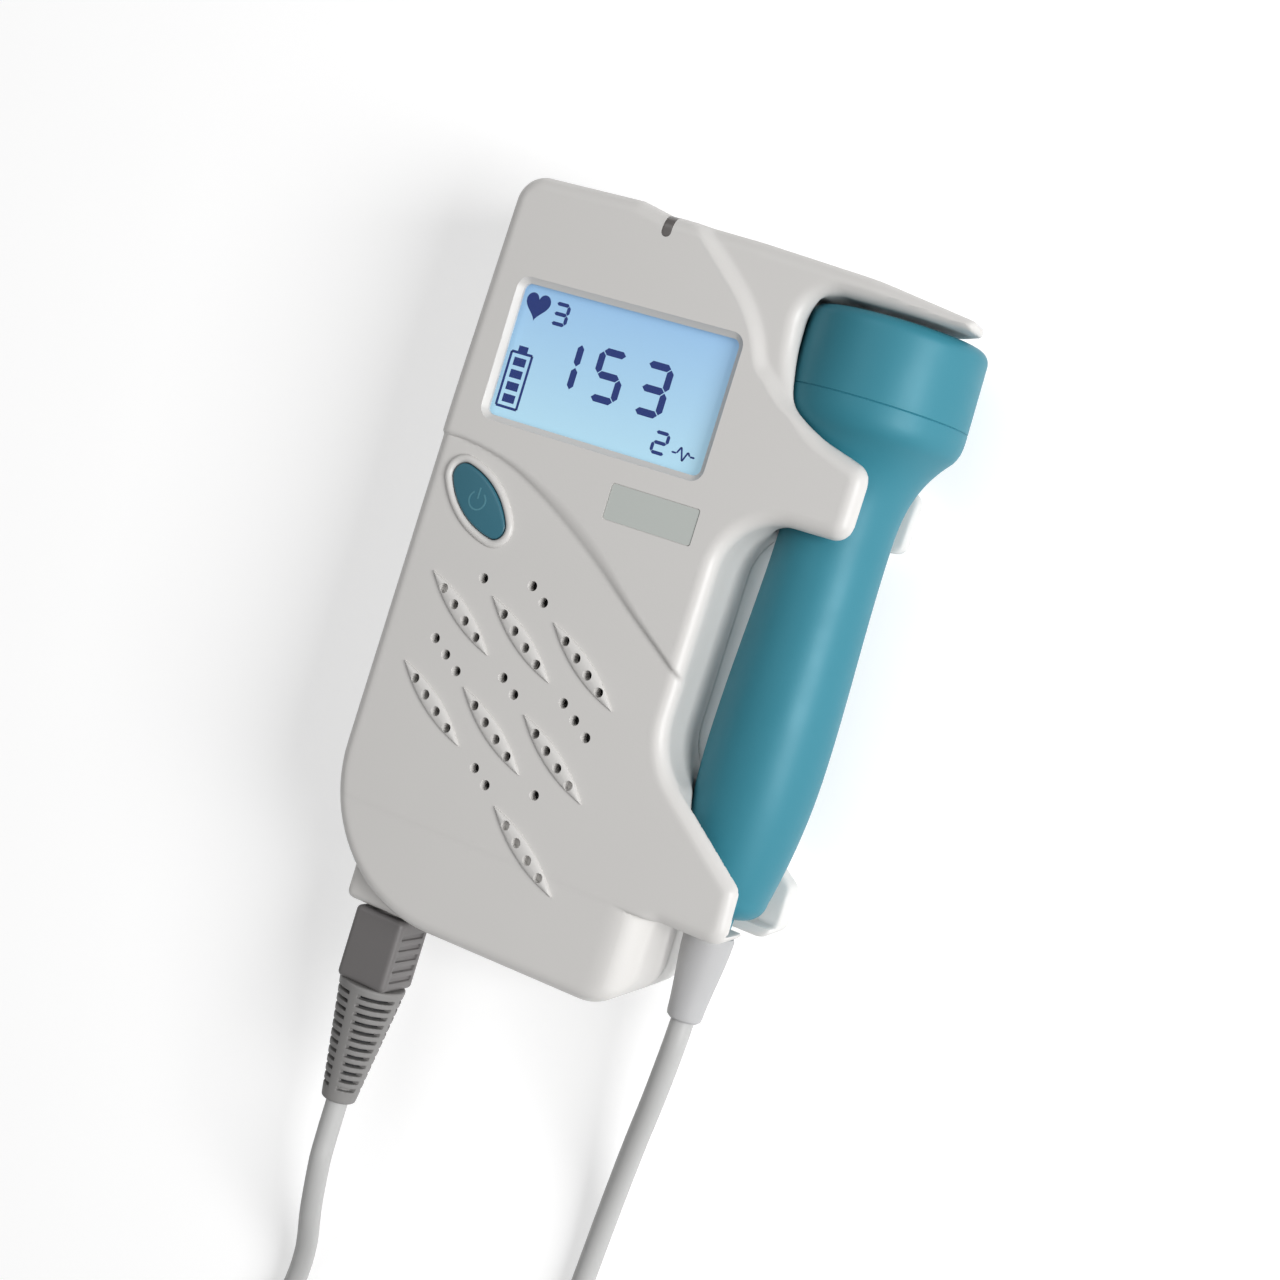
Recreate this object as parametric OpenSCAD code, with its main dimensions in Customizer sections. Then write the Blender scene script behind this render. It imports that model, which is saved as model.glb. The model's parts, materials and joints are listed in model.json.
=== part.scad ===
// Pocket fetal doppler monitor: a moulded housing with a display, a speaker grille and a
// one-button panel, and a teal ultrasound probe that lies in an open cradle on its right side.
// Drawn in millimetres, lying on its back: +X to the cradle side, +Y to the top edge, +Z out of
// the face. The drawing's own zero is the middle of the display, at the back plane; at_origin()
// moves it so that the part's origin is the middle of its footprint.

/* [Housing] */
// Thickness from the back plane to the display face
case_t = 33.5; // [32.5:0.5:36]
// Length from the bottom lobe to the top edge
case_l = 141.4; // [138:0.2:146]
// Distance from the display's left side to the housing's left side
side_margin = 9.8; // [9:0.1:12]
// Distance from the display's top side to the housing's top edge
top_margin = 19.8; // [18:0.2:22]
// Height of the parting line above the back plane
split_h = 15.5; // [14:0.5:17]
// Wall thickness of the mouldings
wall = 2.2; // [1.8:0.1:2.4]
// Radius of the rounded front edge
front_r = 2.6; // [1.6:0.2:3]
// Radius of the rounded back edge
back_r = 4; // [2:0.5:4.5]
// Draft of the side walls, over each half
draft = 0.5; // [0:0.1:0.8]
// Depth of the speaker panel below the display panel
panel_step = 0.8; // [0.4:0.1:1]
// Depth of the arm's shoulder below the display panel
shoulder_step = 1.2; // [0.6:0.1:1.6]

/* [Cradle] */
// Distance from the display's middle to the probe's axis
probe_x = 45.1; // [44:0.1:47]
// Height of the probe's axis above the back plane
probe_z = 17.2; // [17.1:0.1:18]
// Clearance between the probe and the cradle
cradle_gap = 0.5; // [0.4:0.1:0.8]
// Reach of the fingers past the probe's axis, at the front
finger_reach = 7.6; // [6:0.1:9]
// Further reach of the fingers at the back
back_reach = 2.7; // [1:0.1:4]
// Reach of the top arm past the probe's axis
arm_reach = 17.3; // [16:0.1:22]
// Width of the fingers along the probe
finger_w = 12.2; // [10:0.2:13]

/* [Display] */
// Width of the display opening
display_w = 45.2; // [44:0.2:46]
// Height of the display opening
display_h = 25.2; // [24:0.2:27]
// Depth of the window below the face
window_recess = 1.5; // [1:0.1:1.8]
// Thickness of the clear window
window_t = 1; // [0.8:0.1:1.2]

/* [Buttons and grille] */
// Length of the power button
button_l = 16.6; // [14:0.2:17]
// Width of the power button
button_w = 7.6; // [6:0.2:8]
// Travel of the power button
button_travel = 0.6; // [0.3:0.1:0.6]
// Width of the raised ring round the button
ring_w = 1.3; // [0.8:0.1:1.6]
// Length of one grille rib
rib_l = 20; // [16:0.5:20.5]
// Width of one grille rib
rib_w = 3.4; // [3:0.1:4]
// Height of the ribs above the speaker panel
rib_h = 0.5; // [0.3:0.1:0.8]
// Diameter of the sound holes
hole_d = 1.7; // [1.3:0.1:2]

/* [Probe] */
// Diameter of the probe's head, at its shoulder
head_d = 33.8; // [31:0.2:34]
// Draft of the head: how much smaller its face is, on the radius
head_draft = 0.5; // [0:0.1:0.8]
// Length of the head from its face to its shoulder
head_l = 15.7; // [15.4:0.1:17]
// Length of the head's cap, from its face to the seam
cap_l = 14.9; // [12:0.1:15.2]
// Diameter of the neck, where the upper finger holds it
neck_d = 20.2; // [18:0.2:20.6]
// Diameter of the grip at its fullest
grip_d = 22.2; // [20.8:0.2:22.4]
// Diameter of the tail before its rounded end
tail_d = 16.8; // [15:0.2:18]
// Length of the probe from its face to the end of its tail
probe_l = 110.2; // [109:0.2:111]
// Diameter of the transducer disc
crystal_d = 20; // [16:0.5:22]

/* [Cable and plug] */
// Diameter of the probe cable
cable_d = 4.4; // [4:0.1:4.8]
// Diameter of the probe's boot, at the probe
boot_d = 9.5; // [8.5:0.1:10]
// Length of the probe's boot
boot_l = 17.2; // [12:0.2:17.4]
// Side of the square plug body
plug_w = 11.2; // [10.4:0.2:12]
// Length of the plug body outside the socket
plug_l = 15.2; // [13:0.2:17]
// Distance from the display's middle to the plug's axis
plug_x = 18.1; // [17:0.1:19]
// Height of the plug's axis above the back plane
plug_z = 18.5; // [17.5:0.1:19.5]
// Diameter of the plug's round nose
nose_d = 8; // [7:0.2:8.6]
// Length of the plug's nose
nose_l = 9; // [8:0.5:10]
// Diameter of the ribbed relief, at the plug
relief_d = 13.4; // [12:0.2:14]
// Diameter of the ribbed relief, at the cable
relief_end_d = 6.8; // [6.2:0.1:7]
// Length of the ribbed relief
relief_l = 24.5; // [22:0.5:26]

/* [Battery and controls] */
// Diameter of one battery cell
cell_d = 14; // [13.6:0.1:14.4]
// Length of one battery cell
cell_l = 50; // [48:0.5:51]
// Diameter of the volume wheel
wheel_d = 16; // [14:0.2:16.4]
// Thickness of the volume wheel
wheel_t = 3; // [2.4:0.2:3.2]
// Bore of the earphone jack
jack_bore_d = 3.6; // [3.5:0.05:3.7]

/* [Hidden] */

$fn = 48;

// Clearances and small common sizes
fit = 0.2;              // between flat faces that slide or drop in
slip = 0.1;             // radial clearance of a shaft in its bore
over = 0.5;             // how far a cut runs past the face that it opens
arc_step = 15;          // degrees between the points of a rounded corner
fine_step = 9;          // the same, on a corner of large radius
large_r = 10;           // a corner radius from which the finer step is used
small_r = 2;            // a corner radius below which a coarser step is used

// Housing, worked out from the driving sizes
left = -display_w / 2 - side_margin;
top = display_h / 2 + top_margin;
bottom = top - case_l;
face_z = case_t;
panel_z = face_z - panel_step;
shoulder_z = face_z - shoulder_step;
roof_z = panel_z - wall;
finger_x = probe_x + finger_reach;
arm_x = probe_x + arm_reach;
head_r = head_d / 2;
neck_r = neck_d / 2;
grip_r = grip_d / 2;
tail_r = tail_d / 2;
arm_t = 2.2;                                   // thickness of the arm at its tip
arm_slope = 0.15;                              // how the arm thickens away from its tip
arm_under = top - 8.5;                         // underside of the arm, at its tip
face_y = arm_under - cradle_gap;               // the probe's face
tail_y = face_y - probe_l;
web_x = probe_x - grip_r - 3;                // the housing's side beside the grip
upper_y = face_y - 26.6;                       // top of the upper finger
lower_y = tail_y - 3.4;                        // underside of the lower finger
lobe_x = probe_x - boot_d / 2 - 1.6;           // the right side of the bottom lobe

// Probe
neck_at = 40;                                  // distance of the neck from the face
grip_at = 80;                                  // distance of the fullest grip from the face
tail_at = probe_l - 4;                         // where the tail's rounded end starts
head_edge = 2.4;                               // rounding of the head's face edge
nipple_r = 3.4;                                // the narrow neck that carries the boot
boot_y = lower_y - 0.6;                        // top of the boot
boot_end_y = boot_y - boot_l;
probe_wall = 2.2;
handle_bore_r = 6.6;

// Plug
plug_top_y = bottom - 1.2;                     // the face of the socket boss
plug_end_y = plug_top_y - plug_l;
relief_end_y = plug_end_y - relief_l;
pull = 9;                                      // travel of the plug out of its socket
cable_r = cable_d / 2;
relief_bore_r = cable_r + 0.3;
relief_bore_l = pull + 3.5;
cable_grip = 1.6;                              // length of cable inside the relief's mouth

// The part's origin, in the drawing
mid_x = (left + arm_x) / 2;
mid_y = (top + plug_top_y) / 2;
module at_origin() { translate([-mid_x, -mid_y, 0]) children(); }

// ---------------------------------------------------------------- outline and lofts

function unit(v) = v / norm(v);
function left_normal(v) = [-v.y, v.x];
function wrap(i, n) = (i + n) % n;
function xy(p) = [p.x, p.y];

// A corner of the outline is [x, y, radius, share], where share is how much of an inset it takes.
function inset_corner(c, i, d) =
    let (n = len(c), b = xy(c[i]),
         u = unit(b - xy(c[wrap(i - 1, n)])), v = unit(xy(c[wrap(i + 1, n)]) - b),
         move = d * c[i][3])
    b + move * (left_normal(u) + left_normal(v)) / (1 + u * v);

function corner_turn(c, i) =
    let (n = len(c), u = xy(c[i]) - xy(c[wrap(i - 1, n)]), v = xy(c[wrap(i + 1, n)]) - xy(c[i]))
    atan2(cross(u, v), u * v);

function corner_arc(q, c, i, d) =
    let (n = len(c), b = q[i],
         u = unit(b - q[wrap(i - 1, n)]), v = unit(q[wrap(i + 1, n)] - b),
         turn = atan2(cross(u, v), u * v), side = sign(turn),
         r = max(c[i][2] - side * d * c[i][3], 0.5),
         from = b - u * r * tan(abs(turn) / 2),
         centre = from + side * left_normal(u) * r,
         step = c[i][2] > large_r ? fine_step : c[i][2] < small_r ? 2 * arc_step : arc_step,
         steps = max(1, ceil(abs(corner_turn(c, i)) / step)))
    [for (k = [0:steps]) let (a = turn * k / steps, p = from - centre)
        centre + [p.x * cos(a) - p.y * sin(a), p.x * sin(a) + p.y * cos(a)]];

// The rounded outline of a list of corners, moved inwards by d
function outline(c, d = 0) =
    let (q = [for (i = [0:len(c) - 1]) inset_corner(c, i, d)])
    [for (i = [0:len(c) - 1]) each corner_arc(q, c, i, d)];

// A closed solid through level rings of equal length: each level is [z, inset]
module loft(c, levels) {
    rings = [for (l = levels) [for (p = outline(c, l[1])) [p.x, p.y, l[0]]]];
    n = len(rings[0]);
    last = len(rings) - 1;
    polyhedron(
        points = [for (r = rings) each r],
        faces = concat(
            [[for (i = [0:n - 1]) i]],
            [for (k = [0:last - 1], i = [0:n - 1]) let (j = (i + 1) % n)
                [k * n + i, (k + 1) * n + i, (k + 1) * n + j, k * n + j]],
            [[for (i = [n - 1:-1:0]) last * n + i]]));
}

// The whole outline, counter-clockwise from the top left; reach moves the finger tips outwards
// and trim shortens the arm
function case_corners(reach = 0, trim = 0) = [
    [left + 2.4, top, 5.5, 1],
    [left + 1.2, top - 44, 60, 1],
    [left, bottom, 28, 1],
    [lobe_x, bottom + 0.5, 9, 1],
    [lobe_x - 0.2, lower_y, 2.4, 0.4],
    [finger_x + 0.9 + 0.7 * reach, lower_y, 3.5, 0.5],
    [finger_x + 0.3 + 0.8 * reach, lower_y + finger_w - 1.2, 3, 0.5],
    [web_x, lower_y + finger_w + 16, 14, 1.2],
    [web_x, upper_y - finger_w - 1, 11, 1.2],
    [finger_x + reach, upper_y - finger_w - 0.8, 3.2, 0.5],
    [finger_x + reach, upper_y, 3.4, 0.5],
    [web_x + 2.6, upper_y + 6.4, 19, 0.6],
    [web_x + 0.3, arm_under + 1, 6, 0.2],
    [arm_x - trim, arm_under + trim / 30, 1, 0.1],
    [arm_x - trim, arm_under + arm_t + trim * arm_slope, 1.1, 0.1],
    [probe_x - 2, arm_under + arm_t + (arm_reach + 2) * arm_slope, 60, 0.2],
    [20, top - 1.9, 60, 0.6],
    [1.5, top - 1.3, 3, 1],
    [-4.5, top, 3, 1]];

// Both forms run past the parting line and past their flat faces, and are cut off flat there
past = 1;
proud = 0.1;
round_end_slope = cos(67.5) / (1 - sin(67.5));
front_slope = draft / (face_z - front_r - split_h);
back_slope = draft / (split_h - back_r);
front_levels = concat(
    [[split_h - past, draft + past * front_slope], [face_z - front_r, 0]],
    [for (a = [22.5:22.5:67.5]) [face_z - front_r + front_r * sin(a), front_r * (1 - cos(a))]],
    [[face_z + proud, front_r + proud * round_end_slope]]);
back_levels = concat(
    [[-proud, 2 * draft + back_r + proud * round_end_slope]],
    [for (a = [67.5:-22.5:22.5]) [back_r - back_r * sin(a), 2 * draft + back_r * (1 - cos(a))]],
    [[back_r, 2 * draft], [split_h + past, draft - past * back_slope]]);
module slab(low, high) { translate([-150, -150, low]) cube([300, 300, high - low]); }

// Curve of the step between the two panels, and of the ridge beside the arm
panel_curve = [[left - over, -18.6], [-24, -18.6], [-15, -20.4], [-7, -24], [1, -28.4],
    [9, -33.4], [18, -39.2], [web_x + over, -47.8]];
ridge_end = upper_y + 9;
ridge_curve = [[6.8, top + over], [8.4, top - 2.8], [15.4, top - 8.6], [20.6, top - 13.2],
    [24, top - 18], [26.6, top - 23], [29, ridge_end + 2], [32.4, ridge_end]];

module panel_cut() {
    translate([0, 0, panel_z]) linear_extrude(panel_step + over)
        polygon(concat(panel_curve, [[finger_x + 5, -50], [finger_x + 5, bottom - 5],
            [left - over, bottom - 5]]));
}

module shoulder_cut() {
    translate([0, 0, shoulder_z]) linear_extrude(shoulder_step + over)
        polygon(concat(ridge_curve, [[arm_x + 5, ridge_end], [arm_x + 5, top + 5],
            [6.8, top + 5]]));
}

// The arm's end slants away from the face, so that it is longest at the front
module arm_slant() {
    translate([0, top + 5, 0]) rotate([90, 0, 0]) linear_extrude(top + 5 - arm_under + 6)
        polygon([[arm_x - 14.5, -over], [arm_x + 0.4, face_z - 8], [arm_x + 8, face_z - 8],
            [arm_x + 8, -over]]);
}

// The lobe's right shoulder is a large round, seen below the lower finger
lobe_round = 9;
module lobe_shoulder() {
    x = lobe_x + 0.6;
    z = panel_z + 0.3;
    translate([0, lower_y, 0]) rotate([90, 0, 0]) linear_extrude(lower_y - bottom + 5)
        difference() {
            translate([x - lobe_round, z - lobe_round]) square(lobe_round + 5);
            translate([x - lobe_round, z - lobe_round]) circle(lobe_round);
        }
}

// ---------------------------------------------------------------- probe profile

function blend(a, b, t) = a + (b - a) * (1 - cos(180 * t)) / 2;

// Radius of the probe at a distance from its face
flare_at = head_l + 4.8;                       // where the shoulder's round meets the flare
flare_r = head_r - 1.1;
face_r = head_r - head_draft;
function round_end(u) = 1 - sqrt(max(0, 1 - u * u));
function probe_r(d) =
    d < head_edge ? face_r - head_edge * round_end(1 - d / head_edge) :
    d < head_l ? face_r + head_draft * d / head_l :
    d < flare_at ? head_r - (head_r - flare_r) * pow((d - head_l) / (flare_at - head_l), 3) :
    d < neck_at ? neck_r + (flare_r - neck_r) * pow(1 - (d - flare_at) / (neck_at - flare_at), 3) :
    d < grip_at ? blend(neck_r, grip_r, (d - neck_at) / (grip_at - neck_at)) :
    d < tail_at ? grip_r - (grip_r - tail_r) * pow((d - grip_at) / (tail_at - grip_at), 2) :
    tail_r - 4 * round_end((d - tail_at) / (probe_l - tail_at));

head_stations = [for (a = [0:22.5:90]) head_edge * (1 - cos(a))];
handle_stations = [cap_l, head_l, head_l + 1.8, head_l + 3.4, flare_at, flare_at + 1.4,
    flare_at + 3, flare_at + 5, flare_at + 7.5, flare_at + 11, flare_at + 15, neck_at,
    neck_at + 10, neck_at + 20, neck_at + 30, grip_at, grip_at + 6, grip_at + 12, grip_at + 18,
    grip_at + 22.5, tail_at, tail_at + 1.6, tail_at + 2.8, tail_at + 3.6, probe_l];

// Turns a profile of [radius, distance from the face] about the probe's axis
module on_probe_axis() {
    translate([probe_x, face_y, probe_z]) rotate([90, 0, 0]) children();
}

// The cradle is the probe's own form with a clearance, carried out through the open side
cradle_stations = [0, head_l, head_l + 3.4, flare_at, flare_at + 3, flare_at + 6, flare_at + 11,
    neck_at, neck_at + 20, grip_at, grip_at + 14, tail_at, probe_l];
cradle_profile = [for (d = cradle_stations)
    [(d == 0 || d == probe_l ? probe_r(d == 0 ? head_edge : tail_at) : probe_r(d)) + cradle_gap,
     d == 0 ? -cradle_gap : d == probe_l ? probe_l + cradle_gap : d]];
slot_r = nipple_r + 1;
// The front fingers are thin plates at their tips, hollow underneath
plate_x = probe_x + 2;
module finger_undercut() {
    x = finger_x + 10;
    translate([0, 0, probe_z]) linear_extrude(roof_z - probe_z) {
        polygon([[plate_x, upper_y - finger_w - 4], [x, upper_y - finger_w - 4],
            [x, upper_y + 2], [plate_x, upper_y + 2]]);
        polygon([[web_x + 4, lower_y + finger_w + 16], [web_x + 7, lower_y + finger_w + 7],
            [plate_x, lower_y + finger_w - 3], [plate_x, lower_y + wall], [x, lower_y + wall],
            [x, lower_y + finger_w + 16]]);
    }
}

module cradle_cut() {
    lip = 0.05;
    on_probe_axis() rotate_extrude($fn = 96)
        polygon(concat([[0, -cradle_gap]], cradle_profile, [[0, probe_l + cradle_gap]]));
    translate([probe_x, face_y, probe_z]) rotate([90, 0, 90]) linear_extrude(arm_reach + 10)
        polygon(concat(
            [for (p = cradle_profile) [-p[1], p[0] + lip]],
            [for (i = [len(cradle_profile) - 1:-1:0])
                [-cradle_profile[i][1], -cradle_profile[i][0] - lip]]));
    // The slot that the probe's narrow neck leaves through
    translate([probe_x, tail_y + 1, probe_z]) rotate([90, 0, 0])
        cylinder(r = slot_r, h = tail_y - lower_y + 6);
    translate([probe_x, lower_y - 5, probe_z - slot_r - lip])
        cube([arm_reach + 10, tail_y - lower_y + 6, 2 * (slot_r + lip)]);
}

// ---------------------------------------------------------------- grille and button places

rib_angle = -35.6;
button_angle = -38;
button_at = [-display_w / 2 + 4.1, -display_h / 2 - 16.2];
rib_row = [-0.3, -17.8];
rib_column = [13.7, -0.9];
rib_first = [-display_w / 2 + 7.2, -display_h / 2 - 37];
ribs = [[0, 0], [1, 0], [2, 0], [0, 1], [1, 1], [2, 1], [2, 2]];
function rib_at(r) = rib_first + r[0] * rib_column + r[1] * rib_row;
hole_step = 3.86;
along = [cos(rib_angle), sin(rib_angle)];
// Small holes between the ribs: [column, row, holes], each group lying one lattice step aside
groups = [[0.17, -0.43, 1], [1.03, -0.5, 2], [-0.03, 0.47, 3], [1.03, 0.5, 2],
    [2.12, 0.54, 3], [1.04, 1.49, 2], [1.9, 1.42, 1]];
function rib_holes(r) = [for (k = [-1.5:1:1.5]) rib_at(r) + along * k * hole_step];
// Some of the ribs' holes are blind: the outermost ones, beyond the speaker
function blind(r, i) = r == [2, 2] || (r == [0, 0] && i == 0) || (r == [2, 1] && i == 3);
function group_holes(g) =
    [for (k = [0:g[2] - 1]) rib_first + g[0] * rib_column + g[1] * rib_row
        + along * (k - (g[2] - 1) / 2) * hole_step];

// A pointed oval, the common part of two discs
module oval(l, w) {
    r = (l * l / 4 + w * w / 4) / w;
    intersection() {
        translate([0, r - w / 2]) circle(r, $fn = 180);
        translate([0, w / 2 - r]) circle(r, $fn = 180);
    }
}

module at_button() { translate(button_at) rotate(button_angle) children(); }
bevel = 1;
display_corners = [[-display_w / 2, display_h / 2, 1.4, 1], [-display_w / 2, -display_h / 2, 1.4, 1],
    [display_w / 2, -display_h / 2, 1.4, 1], [display_w / 2, display_h / 2, 1.4, 1]];
module rounded_rect(w, h, r) {
    polygon(outline([[-w / 2, h / 2, r, 1], [-w / 2, -h / 2, r, 1], [w / 2, -h / 2, r, 1],
        [w / 2, h / 2, r, 1]]));
}

// ---------------------------------------------------------------- fasteners and inner places

screw_r = 1.3;
screw_head_r = 2.5;
screw_places = [[left + 7.2, top - 7], [18, top - 6.5], [left + 7, bottom + 29],
    [lobe_x - 8, bottom + 9]];
screw_sink = 4;                                // depth of the head below the back plane
screw_l = 17;                                  // length under the head
boss_r = 3.2;

window_z = face_z - window_recess;
lcd_t = 3;
light_t = 2.4;
board_t = 1.6;
lcd_z = window_z - window_t - lcd_t;
light_z = lcd_z - light_t;
board_z = light_z - board_t;
board_l = 67;
board_w = 50;
board_at = [left + wall + 3.4, top - wall - 3 - board_l];
speaker_at = rib_at([1, 1]) + [0, 1];
speaker_r = 18;
speaker_t = 6.5;
cloth_t = 0.4;
cloth_w = 2 * speaker_r + 4;
cloth_h = 2 * speaker_r + 11;
jack_at = [left + 2.2, 10, split_h + 4];
jack_l = 13;
wheel_r = wheel_d / 2;
wheel_at = [left + 1.6 + wheel_r, -8, split_h + 1.2];
shaft_r = 1.5;
door_w = 2 * cell_d + 1.4;
door_t = 2;
door_top = bottom + cell_l + 12.5;
door_x = lobe_x - 29;
tongue = 1.2;
bay_w = door_w + 2 * tongue + 2 * fit + 0.4;
bay_wall = 1.5;
bay_bottom = bottom + wall + 4.2;
bay_l = cell_l + 4;
floor_z = wall + 0.4;
groove_w = door_w + 2 * tongue + 2 * fit;
boss_w = plug_w + 5.8;
boss_corners = [[-plug_x - boss_w / 2, plug_top_y, 2, 1], [-plug_x + boss_w / 2, plug_top_y, 2, 1],
    [-plug_x + boss_w / 2, bottom + 22, 1, 1], [-plug_x - boss_w / 2, bottom + 22, 1, 1]];
boss_z = [plug_z - 7.5, plug_z + 6.2];

// Outer forms shared by the shells and by the pieces that lie flush with them
module front_form() {
    difference() {
        loft(case_corners(), front_levels);
        slab(face_z, face_z + past);
        panel_cut();
        shoulder_cut();
        lobe_shoulder();
        arm_slant();
    }
}

module rear_form() {
    difference() {
        loft(case_corners(back_reach, 4), back_levels);
        slab(-past, 0);
        arm_slant();
    }
}

// The socket's boss, shared between the shells at the parting line
module socket_boss(low, high) {
    translate([0, 0, low]) linear_extrude(high - low) polygon(outline(boss_corners));
}

// The room for the electronics, as an outline
room_corners = [
    [left + wall + 2.8, top - wall - 1.6, 4, 1],
    [left + wall + 0.5, bottom + wall + 2.5, 25, 1],
    [lobe_x - wall - 1.2, bottom + wall + 2.8, 5, 1],
    [lobe_x - wall - 1.2, lower_y + 4, 4, 1],
    [web_x - wall - 0.6, lower_y + 16, 6, 1],
    [web_x - wall - 0.6, face_y - neck_at + 4, 6, 1],
    [probe_x - head_r - cradle_gap - wall, face_y - head_l - 9, 4, 1],
    [probe_x - head_r - cradle_gap - wall, top - wall - 2.8, 3, 1]];
module room(low, high, d = 0) {
    translate([0, 0, low]) linear_extrude(high - low) polygon(outline(room_corners, d));
}

module front_bosses() {
    for (p = screw_places) translate([p.x, p.y, split_h - over])
        cylinder(r = boss_r, h = roof_z - split_h + over);
    // Shoulders that the board is seated against
    for (p = [screw_places[0], screw_places[1]]) translate([p.x, p.y, board_z + board_t])
        cylinder(r = boss_r + 1.8, h = roof_z - board_z - board_t);
    translate([18, board_at.y + 5, board_z + board_t])
        cylinder(r = 2.4, h = roof_z - board_z - board_t);
}

module rear_bosses() {
    for (p = screw_places) translate([p.x, p.y, 0])
        cylinder(r = boss_r + 1, h = split_h + over);
}

socket_d = nose_d + 2.4;
socket_l = nose_l + 1.8;
module socket_space() {
    translate([-plug_x, plug_top_y - over, plug_z]) rotate([-90, 0, 0]) {
        cylinder(d = socket_d + fit, h = socket_l + over);
        cylinder(d = 4, h = socket_l + 12);
    }
}

module side_controls_cut() {
    // Earphone jack
    translate([left - over, jack_at.y, jack_at.z]) rotate([0, 90, 0]) cylinder(r = 3.1, h = wall + 5);
    // Thumb scallop and slot of the volume wheel
    translate([left - 9, wheel_at.y, wheel_at.z - 2]) cylinder(r = 12, h = wheel_t + 4);
    translate([left, wheel_at.y - wheel_r - 0.6, wheel_at.z - 0.4])
        cube([wall + 6, wheel_d + 1.2, wheel_t + 0.8]);
}

// ---------------------------------------------------------------- housing

module front_shell() {
    color("gainsboro") difference() {
        union() {
            difference() {
                union() {
                    front_form();
                    socket_boss(split_h - over, boss_z[1]);
                }
                room(split_h - 2 * past, roof_z);
            }
            intersection() {
                front_bosses();
                room(split_h - over, roof_z + 0.2, -0.4);
            }
            for (r = ribs) translate(concat(rib_at(r), [panel_z - 0.2]))
                rotate(rib_angle) linear_extrude(rib_h + 0.2) oval(rib_l, rib_w);
            translate([0, 0, panel_z - 0.2]) at_button()
                linear_extrude(rib_h + 0.3) oval(button_l + 2 * ring_w + 1.2, button_w + 2 * ring_w);
        }
        cradle_cut();
        finger_undercut();
        // Display opening with its bevel, window ledge and display pocket
        loft(display_corners, [[roof_z - over, 0], [face_z - bevel, 0], [face_z + over, -bevel - over]]);
        translate([0, 0, roof_z - over]) linear_extrude(window_z - roof_z + over)
            rounded_rect(display_w + 3 + fit, display_h + 3 + fit, 1.6);
        translate([0, 0, roof_z - over]) linear_extrude(window_z - window_t - roof_z + over)
            rounded_rect(display_w + 5 + fit, display_h + 8 + fit, 1.6);
        // Power button and the recess for the label
        translate([0, 0, roof_z - over]) at_button()
            linear_extrude(face_z) oval(button_l + button_gap, button_w + button_gap);
        translate([label_at.x - label_w / 2, label_at.y - label_h / 2, face_z - label_sink])
            cube([label_w, label_h, label_sink + over]);
        // Sound holes
        for (r = ribs, i = [0:3]) let (p = rib_holes(r)[i])
            translate([p.x, p.y, blind(r, i) ? panel_z - 0.8 : roof_z - over])
                cylinder(d = hole_d, h = face_z - roof_z + 2 * over);
        for (g = groups, p = group_holes(g)) translate([p.x, p.y, roof_z - over])
            cylinder(d = hole_d, h = face_z - roof_z + 2 * over);
        indicator_slot(0);
        socket_space();
        side_controls_cut();
        for (p = screw_places) translate([p.x, p.y, split_h - 2 * past])
            cylinder(r = screw_r + 0.02, h = screw_l + screw_sink - split_h + 2 * past + 1);
        slab(split_h - 3 * past, split_h);
    }
}

module rear_shell() {
    color("gainsboro") difference() {
        union() {
            difference() {
                union() {
                    rear_form();
                    socket_boss(boss_z[0], split_h + over);
                }
                room(floor_z, split_h + 2 * past, 0.6);
            }
            intersection() {
                rear_bosses();
                room(wall, split_h + over, -0.4);
            }
            bay_walls();
        }
        cradle_cut();
        // Battery door: the opening, and the grooves of its tongues
        translate([door_x - door_w / 2 - fit, bottom - over, -over])
            cube([door_w + 2 * fit, door_top + fit - bottom + over, door_t / 2 + over]);
        translate([door_x - groove_w / 2, bottom - over, door_t / 2])
            cube([groove_w, bay_bottom - bottom + over, door_t / 2 + fit / 2]);
        translate([door_x - groove_w / 2, bay_bottom, door_t / 2])
            cube([groove_w, door_top + fit - bay_bottom, floor_z]);
        socket_space();
        side_controls_cut();
        for (p = screw_places) translate([p.x, p.y, -over]) {
            cylinder(r = screw_head_r + 0.3, h = screw_sink + over);
            cylinder(r = screw_r + 0.2, h = split_h + over + 2 * past);
        }
        slab(split_h, split_h + 3 * past);
    }
}

// Walls of the battery bay, standing on the rear shell's floor
module bay_walls() {
    h = split_h - floor_z - 2;
    difference() {
        translate([door_x - bay_w / 2 - bay_wall, bay_bottom - bay_wall, wall])
            cube([bay_w + 2 * bay_wall, bay_l + 2 * bay_wall, h]);
        translate([door_x - bay_w / 2, bay_bottom, wall - 1]) cube([bay_w, bay_l, h + 2]);
    }
}

module case_screws() {
    color("silver") for (p = screw_places) translate([p.x, p.y, screw_sink]) {
        difference() {
            translate([0, 0, -1.6]) cylinder(r = screw_head_r, h = 1.6);
            translate([-1.6, -0.3, -2]) cube([3.2, 0.6, 1.2]);
            translate([-0.3, -1.6, -2]) cube([0.6, 3.2, 1.2]);
        }
        cylinder(r = screw_r, h = screw_l);
    }
}

// ---------------------------------------------------------------- display, board and panel

module display_window() {
    color("lightskyblue", 0.5) translate([0, 0, window_z - window_t]) linear_extrude(window_t)
        rounded_rect(display_w + 3, display_h + 3, 1.5);
}

module lcd_module() {
    color("lightsteelblue") translate([0, 0, lcd_z]) linear_extrude(lcd_t)
        rounded_rect(display_w + 5, display_h + 8, 1.6);
}

module lcd_backlight() {
    color("white") translate([0, 0, light_z]) linear_extrude(light_t)
        rounded_rect(display_w + 1, display_h + 4, 0.8);
}

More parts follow.
